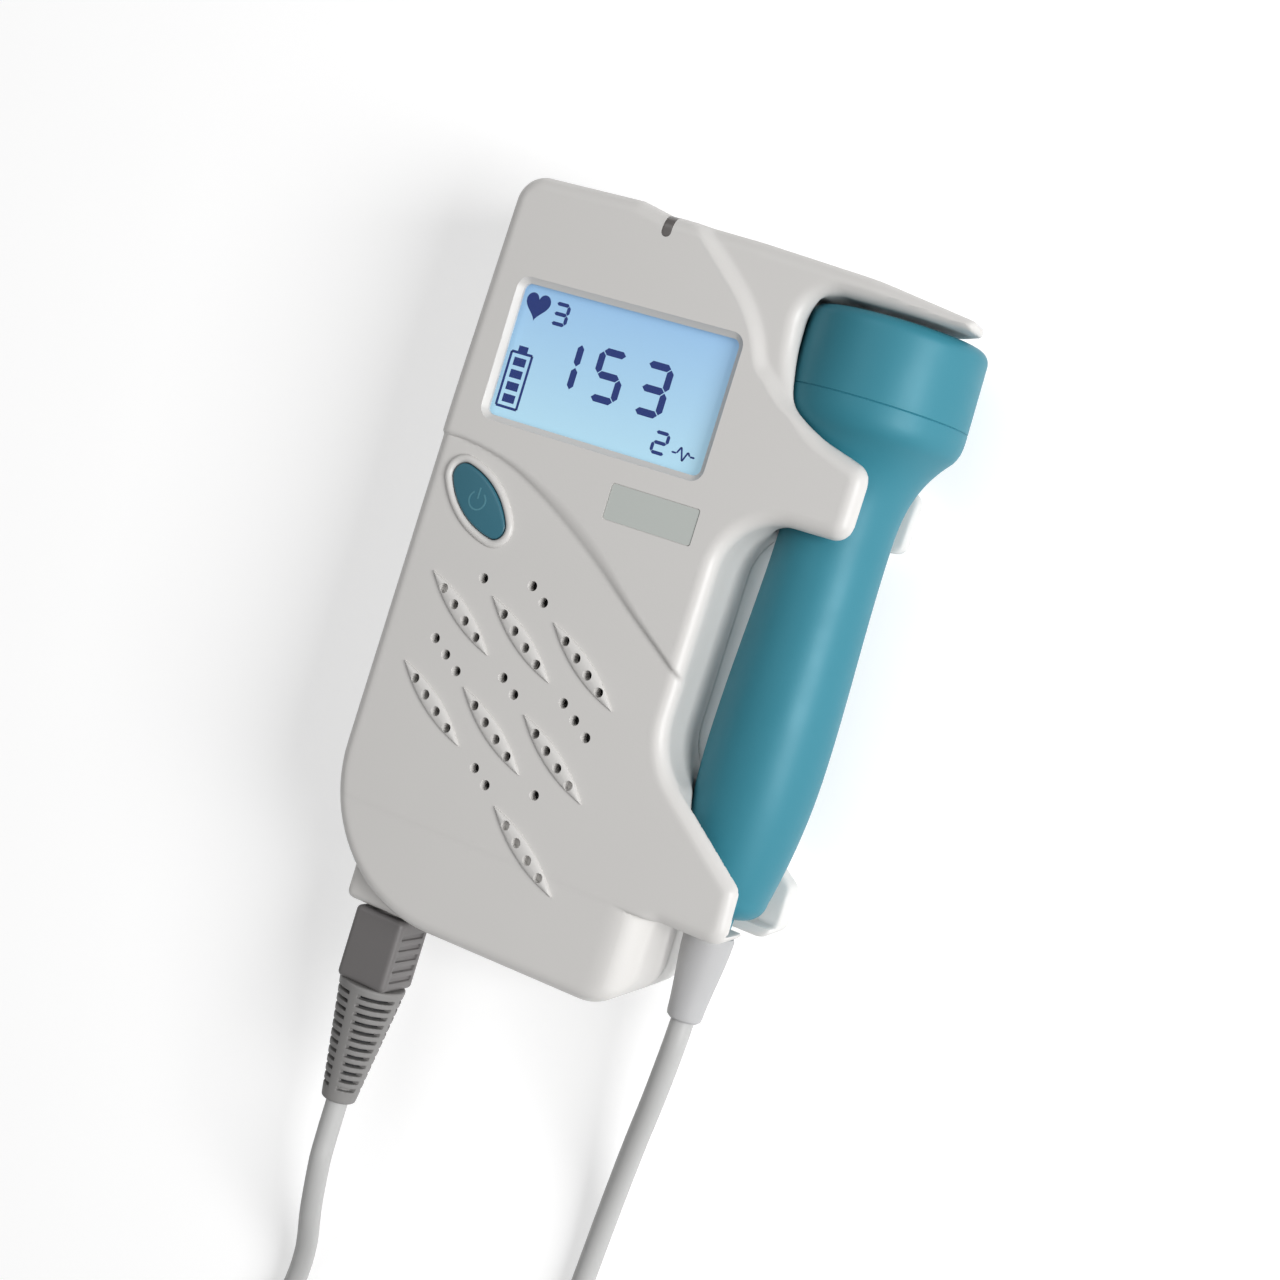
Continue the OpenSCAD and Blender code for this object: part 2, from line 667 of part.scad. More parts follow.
// The board is notched for the case screws' bosses and for the volume wheel
module circuit_board() {
    color("seagreen") difference() {
        translate([board_at.x, board_at.y, board_z]) cube([board_w, board_l, board_t]);
        for (p = screw_places) translate([p.x, p.y, board_z - 1]) cylinder(r = boss_r + 0.3, h = 4);
    }
}

module board_chips() {
    color("dimgray") {
        translate([-12, -6, board_z - 1.6]) cube([12, 12, 1.6]);
        translate([6, -8, board_z - 1.4]) cube([9, 7, 1.4]);
        translate([-14, 14, board_z - 1.4]) cube([7, 5, 1.4]);
        translate([12, 12, board_z - 6]) cylinder(d = 6, h = 6);
        translate([4, -24, board_z - 1.8]) cube([10, 6, 1.8]);
    }
}

slot_w = 2;
slot_x = 2.6;
slot_from = top - 5.6;
module indicator_slot(shrink) {
    translate([slot_x, slot_from + 4, face_z - 5 + shrink]) linear_extrude(6)
        rounded_rect(slot_w - 2 * shrink, 8 - 2 * shrink, 0.9 - shrink);
}

// The lens stands on a foot that is held against the underside of the face
module indicator_lens() {
    color("dimgray") {
        intersection() {
            front_form();
            indicator_slot(0.05);
        }
        translate([slot_x - 1.8, slot_from - 0.9, roof_z - 1]) cube([3.6, 1.8, 1]);
    }
}

module status_led() {
    color("yellowgreen") translate([slot_x - 1, board_at.y + board_l - 2, board_z + board_t]) {
        cube([2, 1.8, 1.4]);
        translate([0.2, 0.2, 1.4]) cube([1.6, 1.4, face_z - 5.3 - board_z - board_t - 1.4]);
    }
}

label_w = 18.2;
label_h = 6.9;
label_at = [16.2, -display_h / 2 - 8.8];
label_sink = 0.35;
module label_plate() {
    color("gainsboro") translate([label_at.x, label_at.y, face_z - label_sink])
        linear_extrude(label_sink - 0.15) rounded_rect(label_w - 0.3, label_h - 0.3, 0.4);
}

// The button is a low dome over a pointed oval, on a flange that stays under the face
button_gap = 0.3;
button_top = panel_z + 0.8;
dome_r = 60;
module power_button() {
    color("teal") at_button() {
        translate([0, 0, roof_z - 1.1]) linear_extrude(1)
            oval(button_l + 2.4, button_w + 1.6);
        intersection() {
            translate([0, 0, roof_z - 0.2]) linear_extrude(face_z - roof_z + 1)
                oval(button_l - button_gap, button_w - button_gap);
            translate([0, 0, button_top - dome_r]) sphere(r = dome_r, $fn = 96);
        }
    }
}

switch_w = 6;
module button_switch() {
    stem = roof_z - 1.1 - button_travel - 0.1;
    color("black") translate([button_at.x - switch_w / 2, button_at.y - switch_w / 2,
        board_z + board_t]) cube([switch_w, switch_w, 2]);
    color("silver") translate([button_at.x, button_at.y, board_z + board_t + 2])
        cylinder(d = 3.4, h = stem - board_z - board_t - 2);
}

// ---------------------------------------------------------------- sound

// A pad of cloth over the open holes, glued under the face between the screw bosses
module speaker_cloth() {
    color("black") translate([speaker_at.x, speaker_at.y + (cloth_h - cloth_w) * 0.7, roof_z - cloth_t])
        linear_extrude(cloth_t) rounded_rect(cloth_w, cloth_h, cloth_w / 5);
}

// Magnet, basket, surround and cone, open to the grille: shares of the radius and thickness
speaker_profile = [[0, 0], [0.39, 0], [0.39, 0.37], [0.83, 0.55], [1, 0.55], [1, 1], [0.89, 1],
    [0.81, 0.82], [0.74, 0.91], [0.33, 0.55], [0.22, 0.68], [0, 0.77]];
module speaker() {
    color("dimgray") translate([speaker_at.x, speaker_at.y, roof_z - cloth_t - speaker_t])
        rotate_extrude() polygon([for (p = speaker_profile) [p.x * speaker_r, p.y * speaker_t]]);
}

module volume_pot() {
    color("dimgray") {
        translate([wheel_at.x, wheel_at.y, wheel_at.z + wheel_t + 0.3])
            cylinder(d = 10, h = board_z - wheel_at.z - wheel_t - 0.3);
        translate([wheel_at.x, wheel_at.y, wheel_at.z + 0.4])
            cylinder(r = shaft_r, h = wheel_t);
    }
}

// A thumb wheel with a knurled rim and a blind bore for its shaft
knurls = 30;
module volume_wheel() {
    color("gainsboro") translate(wheel_at) difference() {
        cylinder(r = wheel_r, h = wheel_t, $fn = 90);
        translate([0, 0, 0.3]) cylinder(r = shaft_r + 0.05, h = wheel_t);
        for (k = [0:knurls - 1]) rotate(k * 360 / knurls) translate([wheel_r + 0.2, 0, -1])
            cylinder(r = 0.5, h = wheel_t + 2, $fn = 16);
    }
}

module earphone_jack() {
    color("dimgray") translate(jack_at) difference() {
        union() {
            rotate([0, 90, 0]) cylinder(r = 2.9, h = 4);
            translate([2.6, -3.5, -3]) cube([jack_l - 1.6, 7, board_z - jack_at.z + 3]);
        }
        translate([-1, 0, 0]) rotate([0, 90, 0]) cylinder(d = jack_bore_d, h = jack_l);
    }
}

// ---------------------------------------------------------------- power

cell_z = door_t + 0.3 + cell_d / 2;
module battery_cells() {
    color("slategray") for (s = [-1, 1])
        translate([door_x + s * (cell_d / 2 + 0.3), bay_bottom + 2, cell_z]) rotate([-90, 0, 0]) {
            cylinder(d = cell_d, h = cell_l - 1.2);
            cylinder(d = 5.4, h = cell_l);
        }
}

// Plates at both ends of the bay, each with a raised spot that touches its cell
module battery_contacts() {
    plate = 0.5;
    bay_top = bay_bottom + bay_l;
    color("silver") for (s = [-1, 1]) translate([door_x + s * (cell_d / 2 + 0.3), 0, cell_z]) {
        translate([-4.5, bay_bottom, -4.5]) cube([9, plate, 9]);
        translate([-4.5, bay_top - plate, -4.5]) cube([9, plate, 9]);
        translate([0, bay_bottom, 0]) rotate([-90, 0, 0]) cylinder(d = 4, h = 2);
        translate([0, bay_bottom + 2 + cell_l, 0]) rotate([-90, 0, 0])
            cylinder(d = 4, h = bay_l - cell_l - 2);
    }
}

// The door is flush with the back and follows its rounded bottom edge
module battery_door() {
    color("gainsboro") difference() {
        intersection() {
            rear_form();
            union() {
                translate([door_x - door_w / 2, bottom - 2, -1])
                    cube([door_w, door_top - bottom + 2, door_t + 1]);
                translate([door_x - door_w / 2 - tongue, bottom + back_r + 4, door_t / 2 + 0.05])
                    cube([door_w + 2 * tongue, door_top - bottom - back_r - 4, door_t / 2 - 0.05]);
            }
        }
        // Finger ridges, cut between shallow grooves
        for (k = [0:4]) translate([door_x - 7, door_top - 8 - 2 * k, -0.1]) cube([14, 1, 0.5]);
    }
}

// ---------------------------------------------------------------- probe

module probe_head() {
    color("darkcyan") on_probe_axis() rotate_extrude($fn = 96) difference() {
        polygon(concat([[0, 0]], [for (d = head_stations) [probe_r(d), d]],
            [[head_r, cap_l - 0.2], [head_r - 0.2, cap_l], [0, cap_l]]));
        translate([0, 1.4]) square([head_r - probe_wall, cap_l]);
    }
}

module transducer_disc() {
    color("goldenrod") on_probe_axis() translate([0, 0, 1.4]) cylinder(d = crystal_d, h = 1.2);
}

module transducer_backing() {
    color("dimgray") on_probe_axis() translate([0, 0, 2.6]) {
        cylinder(d = crystal_d + 4, h = 4);
        cylinder(d = crystal_d - 6, h = cap_l - 2.6);
    }
}

module probe_handle() {
    color("darkcyan") on_probe_axis() difference() {
        rotate_extrude($fn = 96) polygon(concat(
            [[0, cap_l], [head_r - 0.2, cap_l], [head_r, cap_l + 0.2]],
            [for (d = handle_stations) if (d > cap_l) [probe_r(d), d]],
            [[nipple_r, probe_l], [nipple_r, face_y - boot_y], [0, face_y - boot_y]]));
        translate([0, 0, cap_l - over]) cylinder(r = handle_bore_r, h = tail_at - cap_l - 4);
        translate([0, 0, cap_l - over]) cylinder(r = head_r - 5, h = 4);
        translate([0, 0, probe_l - 20]) cylinder(r = cable_r, h = 40);
    }
}

module probe_board() {
    color("seagreen") on_probe_axis()
        translate([-handle_bore_r + 0.5, -board_t / 2, cap_l]) cube([2 * handle_bore_r - 1, board_t, 56]);
}

module probe_boot() {
    color("gainsboro") on_probe_axis() translate([0, 0, face_y - boot_y]) rotate_extrude()
        polygon([[0, 0], [boot_d / 2 - 0.5, 0], [boot_d / 2, 0.6], [boot_d / 2 - 0.3, 5],
            [cable_r + 1.2, boot_l - 2.4], [cable_r + 0.8, boot_l - 0.4], [cable_r + 0.4, boot_l],
            [0, boot_l]]);
}

// ---------------------------------------------------------------- plug

module on_plug_axis(y) { translate([-plug_x, y, plug_z]) rotate([90, 0, 0]) children(); }

module probe_socket() {
    color("black") difference() {
        on_plug_axis(plug_top_y + socket_l) cylinder(d = socket_d, h = socket_l - 0.2);
        on_plug_axis(plug_top_y + nose_l + 0.4) cylinder(r = nose_d / 2 + slip, h = nose_l + 2);
    }
}

// A square body with grip ridges on both sides, and the round nose that enters the socket
module plug_body() {
    ridge = 0.5;
    color("dimgray") {
        on_plug_axis(plug_top_y) difference() {
            linear_extrude(plug_l) rounded_rect(plug_w, plug_w, 1.4);
            for (s = [-1, 1], k = [0:4])
                translate([s * plug_w / 2 - ridge, -plug_w / 2 + 1.6, 3.4 + 2.2 * k])
                    cube([2 * ridge, plug_w - 3.2, 0.9]);
        }
        on_plug_axis(plug_top_y + nose_l) difference() {
            cylinder(d = nose_d, h = nose_l + over);
            translate([0, 0, -1]) cylinder(r = nose_d / 2 - 0.8, h = nose_l);
        }
    }
}

module plug_contacts() {
    color("gold") on_plug_axis(plug_top_y + nose_l - 0.6) {
        for (k = [0:4]) rotate(k * 72) translate([1.9, 0, 0]) cylinder(r = 0.4, h = nose_l - 1.6);
        cylinder(r = 0.4, h = nose_l - 1.6);
    }
}

// A tapered sleeve cut by rows of slots, which leave four spines between their ends
relief_rows = 12;
slot_pitch = (relief_l - 3.4) / relief_rows;
module plug_relief() {
    r0 = relief_d / 2;
    r1 = relief_end_d / 2;
    color("gray") on_plug_axis(plug_end_y) difference() {
        rotate_extrude() polygon([[0, 0], [r0, 0], [r0, 0.6], [r1, relief_l - 0.6],
            [r1 - 0.3, relief_l], [0, relief_l]]);
        translate([0, 0, relief_l - relief_bore_l]) cylinder(r = relief_bore_r, h = relief_bore_l + 1);
        for (k = [0:relief_rows - 1], q = [0:3]) {
            z = 1.6 + k * slot_pitch;
            r = r0 + (r1 - r0) * (z + 0.4) / relief_l;
            rotate(45 + 90 * q) translate([r - 0.55, -r * 0.52, z])
                cube([3, 2 * r * 0.52, slot_pitch * 0.46]);
        }
    }
}

// ---------------------------------------------------------------- cable

lay_z = cable_r + 0.05;                        // centre of the cable where it lies on the table
coil_gap = 0.6;
coil_pitch = cable_d + coil_gap;
coil_turns = 6.5;
coil_r = 32;                                   // radius of the outermost turn
coil_at = [probe_x - 9 - coil_r, bottom - 114];
upper_z = lay_z + coil_pitch;
loop_rings = 24;
lead = 5;                                      // straight ends of the coiled length

// Chosen by hand: the points that the cable follows, from the boot to the coil and from the
// coil to the relief
out_y = boot_end_y;
probe_route = [[probe_x, out_y - 0.1, probe_z], [probe_x - 0.2, out_y - 6, probe_z],
    [probe_x - 1.5, out_y - 16, probe_z - 2.1], [probe_x - 4, out_y - 28, 10.6],
    [probe_x - 6.6, out_y - 41, 5.4], [probe_x - 8.2, out_y - 54, 2.7],
    [coil_at.x + coil_r, out_y - 69, lay_z], [coil_at.x + coil_r, out_y - 89, lay_z],
    [coil_at.x + coil_r, coil_at.y + lead, lay_z]];
plug_route = [[coil_at.x - coil_r, coil_at.y + lead, upper_z],
    [coil_at.x - coil_r, coil_at.y + 10, upper_z - 0.9], [-plug_x - 7.6, relief_end_y - 55, 3.8],
    [-plug_x - 5.6, relief_end_y - 46, 3.2], [-plug_x - 3.4, relief_end_y - 36, 6.8],
    [-plug_x - 1.4, relief_end_y - 25, 13.4], [-plug_x, relief_end_y - 14, plug_z - 0.4],
    [-plug_x, relief_end_y - 8, plug_z], [-plug_x, relief_end_y + cable_grip, plug_z]];

// A point of the coil after t turns: it winds in on the table, climbs a layer where the spiral
// reverses, and winds out again on top
half = coil_turns / 2;
function coil_radius(t) = coil_r - coil_pitch * (t < half ? t : coil_turns - t);
function coil_height(t) =
    t < half - 0.25 ? lay_z : t > half + 0.25 ? upper_z :
    blend(lay_z, upper_z, (t - half + 0.25) * 2);
function coil_point(t) = [coil_at.x + coil_radius(t) * cos(-360 * t),
    coil_at.y + coil_radius(t) * sin(-360 * t), coil_height(t)];
coil_route = concat(
    [coil_point(0) + [0, lead, 0]],
    [for (k = [0:coil_turns * loop_rings]) coil_point(k / loop_rings)],
    [coil_point(coil_turns) + [0, lead, 0]]);

// A smooth curve through the points, with n steps between each pair
function spline(p, n) = [
    for (i = [0:len(p) - 2], k = [0:n - 1])
        let (a = p[max(i - 1, 0)], b = p[i], c = p[i + 1], d = p[min(i + 2, len(p) - 1)], t = k / n)
        0.5 * (2 * b + (c - a) * t + (2 * a - 5 * b + 4 * c - d) * t * t
            + (3 * b - a - 3 * c + d) * t * t * t),
    p[len(p) - 1]];

// One polyhedron swept along a path, upright rings of so many sides
module tube(path, r, sides) {
    n = len(path);
    rings = [for (i = [0:n - 1])
        let (a = path[max(i - 1, 0)], b = path[min(i + 1, n - 1)],
             f = i == 0 || i == n - 1 ? [0, sign((b - a).y), 0] : unit(b - a),
             s = unit(cross(f, [0, 0, 1])), w = cross(s, f))
        [for (k = [0:sides - 1]) let (g = 360 * (k + 0.5) / sides)
            path[i] + r * (s * cos(g) + w * sin(g))]];
    polyhedron(
        points = [for (g = rings) each g],
        faces = concat(
            [[for (k = [sides - 1:-1:0]) k]],
            [for (i = [0:n - 2], k = [0:sides - 1]) let (m = (k + 1) % sides)
                each [[i * sides + k, i * sides + m, (i + 1) * sides + m],
                      [i * sides + k, (i + 1) * sides + m, (i + 1) * sides + k]]],
            [[for (k = [0:sides - 1]) (n - 1) * sides + k]]));
}

module cable_probe_side() {
    color("silver") tube(spline(probe_route, 3), cable_r, 8);
}

module cable_plug_side() {
    color("silver") tube(spline(plug_route, 3), cable_r, 8);
}

module cable_coil() { color("silver") tube(coil_route, cable_r, 6); }

// Length of the cable, and the coil's least gap to itself
function path_length(p) = [for (i = [0:len(p) - 2]) norm(p[i + 1] - p[i])] * [for (i = [0:len(p) - 2]) 1];
function least(p, skip) = min([for (i = [0:len(p) - 1], j = [i + skip:1:len(p) - 1])
    norm(p[i] - p[j])]);
echo(cable_length = path_length(spline(probe_route, 3)) + path_length(coil_route)
    + path_length(spline(plug_route, 3)));
echo(coil_least_gap = least(coil_route, 12) - cable_d);

at_origin() {
    front_shell();
    rear_shell();
    case_screws();
    display_window();
    lcd_module();
    lcd_backlight();
    circuit_board();
    board_chips();
    status_led();
    indicator_lens();
    label_plate();
    power_button();
    button_switch();
    speaker_cloth();
    speaker();
    volume_pot();
    volume_wheel();
    earphone_jack();
    probe_socket();
    battery_cells();
    battery_contacts();
    battery_door();
    probe_head();
    transducer_disc();
    transducer_backing();
    probe_handle();
    probe_board();
    probe_boot();
    plug_body();
    plug_contacts();
    plug_relief();
    cable_probe_side();
    cable_coil();
    cable_plug_side();
}
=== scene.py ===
"""The looks of a pocket fetal doppler: a moulded housing with a lit display, and its teal probe.

Places and sizes are given in the drawing's millimetres: the drawing's zero is the middle of the
display at the back plane, +X to the cradle, +Y to the top edge, +Z out of the face.
"""

import json
import logging
import math
from dataclasses import dataclass, field
from enum import Enum
from typing import Callable, Optional, Sequence

import bpy
import numpy as np
from mathutils import Matrix, Vector

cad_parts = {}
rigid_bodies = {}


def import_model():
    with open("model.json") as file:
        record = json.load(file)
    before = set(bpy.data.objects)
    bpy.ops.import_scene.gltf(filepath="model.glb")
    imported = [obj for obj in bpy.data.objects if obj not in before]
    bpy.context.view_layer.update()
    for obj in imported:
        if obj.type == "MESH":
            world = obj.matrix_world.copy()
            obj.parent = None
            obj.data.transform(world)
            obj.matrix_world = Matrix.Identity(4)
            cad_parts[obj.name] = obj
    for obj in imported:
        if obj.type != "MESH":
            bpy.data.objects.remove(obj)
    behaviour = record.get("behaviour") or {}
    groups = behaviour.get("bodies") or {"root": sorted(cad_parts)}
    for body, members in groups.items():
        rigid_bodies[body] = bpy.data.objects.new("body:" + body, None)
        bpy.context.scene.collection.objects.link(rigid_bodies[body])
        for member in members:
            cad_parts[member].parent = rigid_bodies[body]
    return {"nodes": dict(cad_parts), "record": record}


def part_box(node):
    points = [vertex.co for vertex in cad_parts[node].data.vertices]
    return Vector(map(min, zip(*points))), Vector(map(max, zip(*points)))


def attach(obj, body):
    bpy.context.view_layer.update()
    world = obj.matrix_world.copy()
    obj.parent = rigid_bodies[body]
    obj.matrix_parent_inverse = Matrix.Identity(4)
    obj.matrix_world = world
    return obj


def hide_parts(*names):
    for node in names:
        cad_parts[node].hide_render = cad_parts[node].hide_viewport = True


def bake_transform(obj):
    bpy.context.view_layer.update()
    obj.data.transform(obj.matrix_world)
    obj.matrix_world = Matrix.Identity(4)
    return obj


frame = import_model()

LOG = logging.getLogger("doppler")
MM = 0.001
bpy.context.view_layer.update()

Array = np.ndarray
Field = Callable[[Array, Array, Array], Array]


def drawing_zero() -> Array:
    """Place of the drawing's zero in the frame, in millimetres: under the middle of the window."""
    low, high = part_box("display_window")
    return np.array([(low.x + high.x) / 2, (low.y + high.y) / 2, 0.0]) / MM


ZERO = drawing_zero()


def to_frame(points: Array) -> Array:
    """Points of the drawing, in millimetres, as points of the frame, in metres."""
    return (np.asarray(points, float) + ZERO) * MM


# ---------------------------------------------------------------- distances and outlines


def round_max(a: Array, b: Array, radius: float) -> Array:
    """Distance to what two forms share, with a rounded edge where they meet.

    Args:
        a: Signed distance to the first form, negative inside.
        b: Signed distance to the second form.
        radius: Radius of the edge between them.

    Returns:
        The signed distance to the rounded intersection.
    """
    corner = np.hypot(np.maximum(a + radius, 0), np.maximum(b + radius, 0))
    return np.minimum(-radius, np.maximum(a, b)) + corner


def round_min(a: Array, b: Array, radius: float) -> Array:
    """Distance to two forms joined with a fillet of that radius between them."""
    return -round_max(-a, -b, radius)


def cut_away(body: Array, tool: Array, radius: float) -> Array:
    """Distance to a body without the tool's form, with a rounded rim of that radius."""
    return round_max(body, -tool, radius)


def ease(t: Array) -> Array:
    """A smooth rise from 0 to 1 while t goes from 0 to 1."""
    t = np.clip(t, 0, 1)
    return t * t * (3 - 2 * t)


@dataclass(frozen=True)
class Corner:
    """A corner of an outline, with the radius that rounds it."""

    x: float
    y: float
    radius: float


def rounded_outline(corners: Sequence[Corner], step: float = 4.0) -> Array:
    """Points of an outline whose corners are arcs.

    Args:
        corners: The corners, counter-clockwise.
        step: Degrees between two points of an arc.

    Returns:
        An array of points, one row each.
    """
    points = []
    for i, corner in enumerate(corners):
        here = np.array([corner.x, corner.y])
        before, after = corners[i - 1], corners[(i + 1) % len(corners)]
        u = here - np.array([before.x, before.y])
        v = np.array([after.x, after.y]) - here
        u, v = u / np.linalg.norm(u), v / np.linalg.norm(v)
        turn = math.atan2(u[0] * v[1] - u[1] * v[0], float(u @ v))
        start = here - u * corner.radius * math.tan(abs(turn) / 2)
        centre = start + math.copysign(corner.radius, turn) * np.array([-u[1], u[0]])
        steps = max(1, math.ceil(math.degrees(abs(turn)) / step))
        for k in range(steps + 1):
            a = turn * k / steps
            x, y = start - centre
            points.append(centre + [x * math.cos(a) - y * math.sin(a), x * math.sin(a) + y * math.cos(a)])
    return np.array(points)


def smooth_path(points: Sequence[Sequence[float]], steps: int) -> Array:
    """A smooth curve through the points, with so many steps between each pair."""
    p = np.array([points[0], *points, points[-1]], float)
    curve = []
    for a, b, c, d in zip(p, p[1:], p[2:], p[3:]):
        for t in np.arange(steps) / steps:
            curve.append(0.5 * (2 * b + (c - a) * t + (2 * a - 5 * b + 4 * c - d) * t * t
                                + (3 * b - a - 3 * c + d) * t ** 3))
    return np.array([*curve, p[-1]])


def outline_distance(x: Array, y: Array, outline: Array) -> Array:
    """Signed distance from points to a closed outline, negative inside."""
    nearest = np.full(x.shape, np.inf)
    inside = np.zeros(x.shape, bool)
    for (ax, ay), (bx, by) in zip(outline, np.roll(outline, -1, axis=0)):
        ex, ey = bx - ax, by - ay
        length = ex * ex + ey * ey
        if length < 1e-12:
            continue
        wx, wy = x - ax, y - ay
        t = np.clip((wx * ex + wy * ey) / length, 0, 1)
        nearest = np.minimum(nearest, (wx - ex * t) ** 2 + (wy - ey * t) ** 2)
        if ey:
            inside ^= ((ay > y) != (by > y)) & (wx < wy * ex / ey)
    return np.where(inside, -1, 1) * np.sqrt(nearest)


class DistanceMap:
    """Signed distance to an outline, sampled once on a level lattice and read between its points."""

    def __init__(self, outline: Array, low: Sequence[float], high: Sequence[float],
                 step: float = 0.4) -> None:
        """Samples the distance over the rectangle from low to high."""
        self.low, self.step = np.array(low, float), step
        xs, ys = (np.arange(low[i], high[i] + 2 * step, step) for i in range(2))
        x, y = np.meshgrid(xs, ys, indexing="ij")
        self.values = outline_distance(x, y, outline)

    def __call__(self, x: Array, y: Array) -> Array:
        """Distance at the points, which may be any arrays that broadcast together."""
        x, y = np.broadcast_arrays(x, y)
        u, v = (x - self.low[0]) / self.step, (y - self.low[1]) / self.step
        i = np.clip(u.astype(int), 0, self.values.shape[0] - 2)
        j = np.clip(v.astype(int), 0, self.values.shape[1] - 2)
        u, v = u - i, v - j
        d = self.values
        return ((d[i, j] * (1 - u) + d[i + 1, j] * u) * (1 - v)
                + (d[i, j + 1] * (1 - u) + d[i + 1, j + 1] * u) * v)


def oval_distance(x: Array, y: Array, length: float, width: float) -> Array:
    """Signed distance to a pointed oval that lies along X, the common part of two discs."""
    tip, radius = length / 2, (length * length + width * width) / width / 4
    away = radius - width / 2
    x, y = np.abs(x), np.abs(y)
    past_tip = (x - tip) * away > y * tip
    return np.where(past_tip, np.hypot(x - tip, y), np.hypot(x, y + away) - radius)


def rounded_oval(x: Array, y: Array, length: float, width: float, tip: float) -> Array:
    """Signed distance to an oval along X whose two points are rounded."""
    return oval_distance(x, y, length - 2 * tip, width - 2 * tip) - tip


def traced_outline(form: Callable[[Array, Array], Array], steps: int = 180) -> Array:
    """Outline of a form round its middle, found along rays from its signed distance."""
    cos, sin = circle(steps).T
    reach = np.zeros(steps)
    for _ in range(80):
        reach -= form(reach * cos, reach * sin)
    return np.column_stack([reach * cos, reach * sin])


def box_distance(x: Array, y: Array, z: Array, centre: Sequence[float], half: Sequence[float],
                 radius: float = 0.0) -> Array:
    """Signed distance to a box with rounded edges."""
    q = [np.abs(a - c) - h + radius for a, c, h in zip((x, y, z), centre, half)]
    outer = np.sqrt(sum(np.maximum(a, 0) ** 2 for a in q))
    return outer + np.minimum(np.maximum(np.maximum(q[0], q[1]), q[2]), 0) - radius


# ---------------------------------------------------------------- meshes


def new_piece(name: str, points: Array, faces: Sequence, crease: Optional[float] = 35.0) -> bpy.types.Object:
    """A mesh object from points of the drawing.

    Args:
        name: Name of the piece.
        points: Points in the drawing's millimetres.
        faces: Point numbers of each face.
        crease: Degrees from which an edge stays sharp, or None to keep every edge smooth.

    Returns:
        The new object, in the scene.
    """
    mesh = bpy.data.meshes.new(name)
    mesh.from_pydata(to_frame(points).tolist(), [], [list(map(int, f)) for f in faces])
    piece = bpy.data.objects.new(name, mesh)
    bpy.context.scene.collection.objects.link(piece)
    shade(piece, crease)
    return piece


def shade(piece: bpy.types.Object, crease: Optional[float]) -> None:
    """Shades a mesh smooth, apart from edges sharper than crease degrees."""
    mesh = piece.data
    mesh.polygons.foreach_set("use_smooth", [True] * len(mesh.polygons))
    if crease is not None:
        mesh.set_sharp_from_angle(angle=math.radians(crease))
    mesh.update()


def skin(name: str, form: Field, low: Sequence[float], high: Sequence[float], step: float,
         crease: Optional[float] = 35.0) -> bpy.types.Object:
    """The surface of a form that is given by its signed distance.

    Each cell of a lattice that the surface crosses gets one point, each lattice edge that it
    crosses gets one face, and the points are then moved onto the surface itself.

    Args:
        name: Name of the piece.
        form: Signed distance to the form at points of the drawing.
        low: Lowest corner of the lattice.
        high: Highest corner of the lattice.
        step: Width of a cell.
        crease: Degrees from which an edge stays sharp, or None to keep every edge smooth.

    Returns:
        The new object.
    """
    axes = [np.arange(low[i] - step, high[i] + 2 * step, step) for i in range(3)]
    grid = np.meshgrid(*axes, indexing="ij", sparse=True)
    values = np.broadcast_to(form(*grid), [len(a) for a in axes]).astype(np.float32)
    inside = values < 0
    cells = tuple(n - 1 for n in values.shape)
    total, count, quads = np.zeros((3, math.prod(cells))), np.zeros(math.prod(cells)), []
    for axis in range(3):
        first, second = (tuple(part if i == axis else slice(None) for i in range(3))
                         for part in (slice(None, -1), slice(1, None)))
        index = np.argwhere(inside[first] != inside[second])
        a, b = values[first][tuple(index.T)], values[second][tuple(index.T)]
        place = index.astype(float)
        place[:, axis] += a / (a - b)
        around = []
        for du, dv in ((0, 0), (-1, 0), (-1, -1), (0, -1)):
            cell = index.copy()
            cell[:, (axis + 1) % 3] += du
            cell[:, (axis + 2) % 3] += dv
            numbers = np.ravel_multi_index(tuple(cell.T), cells)
            count += np.bincount(numbers, minlength=len(count))
            for i in range(3):
                total[i] += np.bincount(numbers, weights=place[:, i], minlength=len(count))
            around.append(numbers)
        quad = np.stack(around, axis=1)
        quads.append(np.where((a < 0)[:, None], quad, quad[:, ::-1]))
    used = count > 0
    points = (total[:, used] / count[used]).T * step + [a[0] for a in axes]
    settle(points, form, step)
    return new_piece(name, points, (np.cumsum(used) - 1)[np.concatenate(quads)], crease)


def settle(points: Array, form: Field, step: float, rounds: int = 2, probe: float = 0.02) -> None:
    """Moves points onto a form's surface along the slope of its distance."""
    for _ in range(rounds):
        here = form(*points.T)
        slope = np.stack([(form(*(points + nudge).T) - here) / probe for nudge in probe * np.eye(3)], axis=1)
        move = (here / np.maximum((slope ** 2).sum(1), 0.25))[:, None] * slope
        points -= np.clip(move, -step / 2, step / 2)


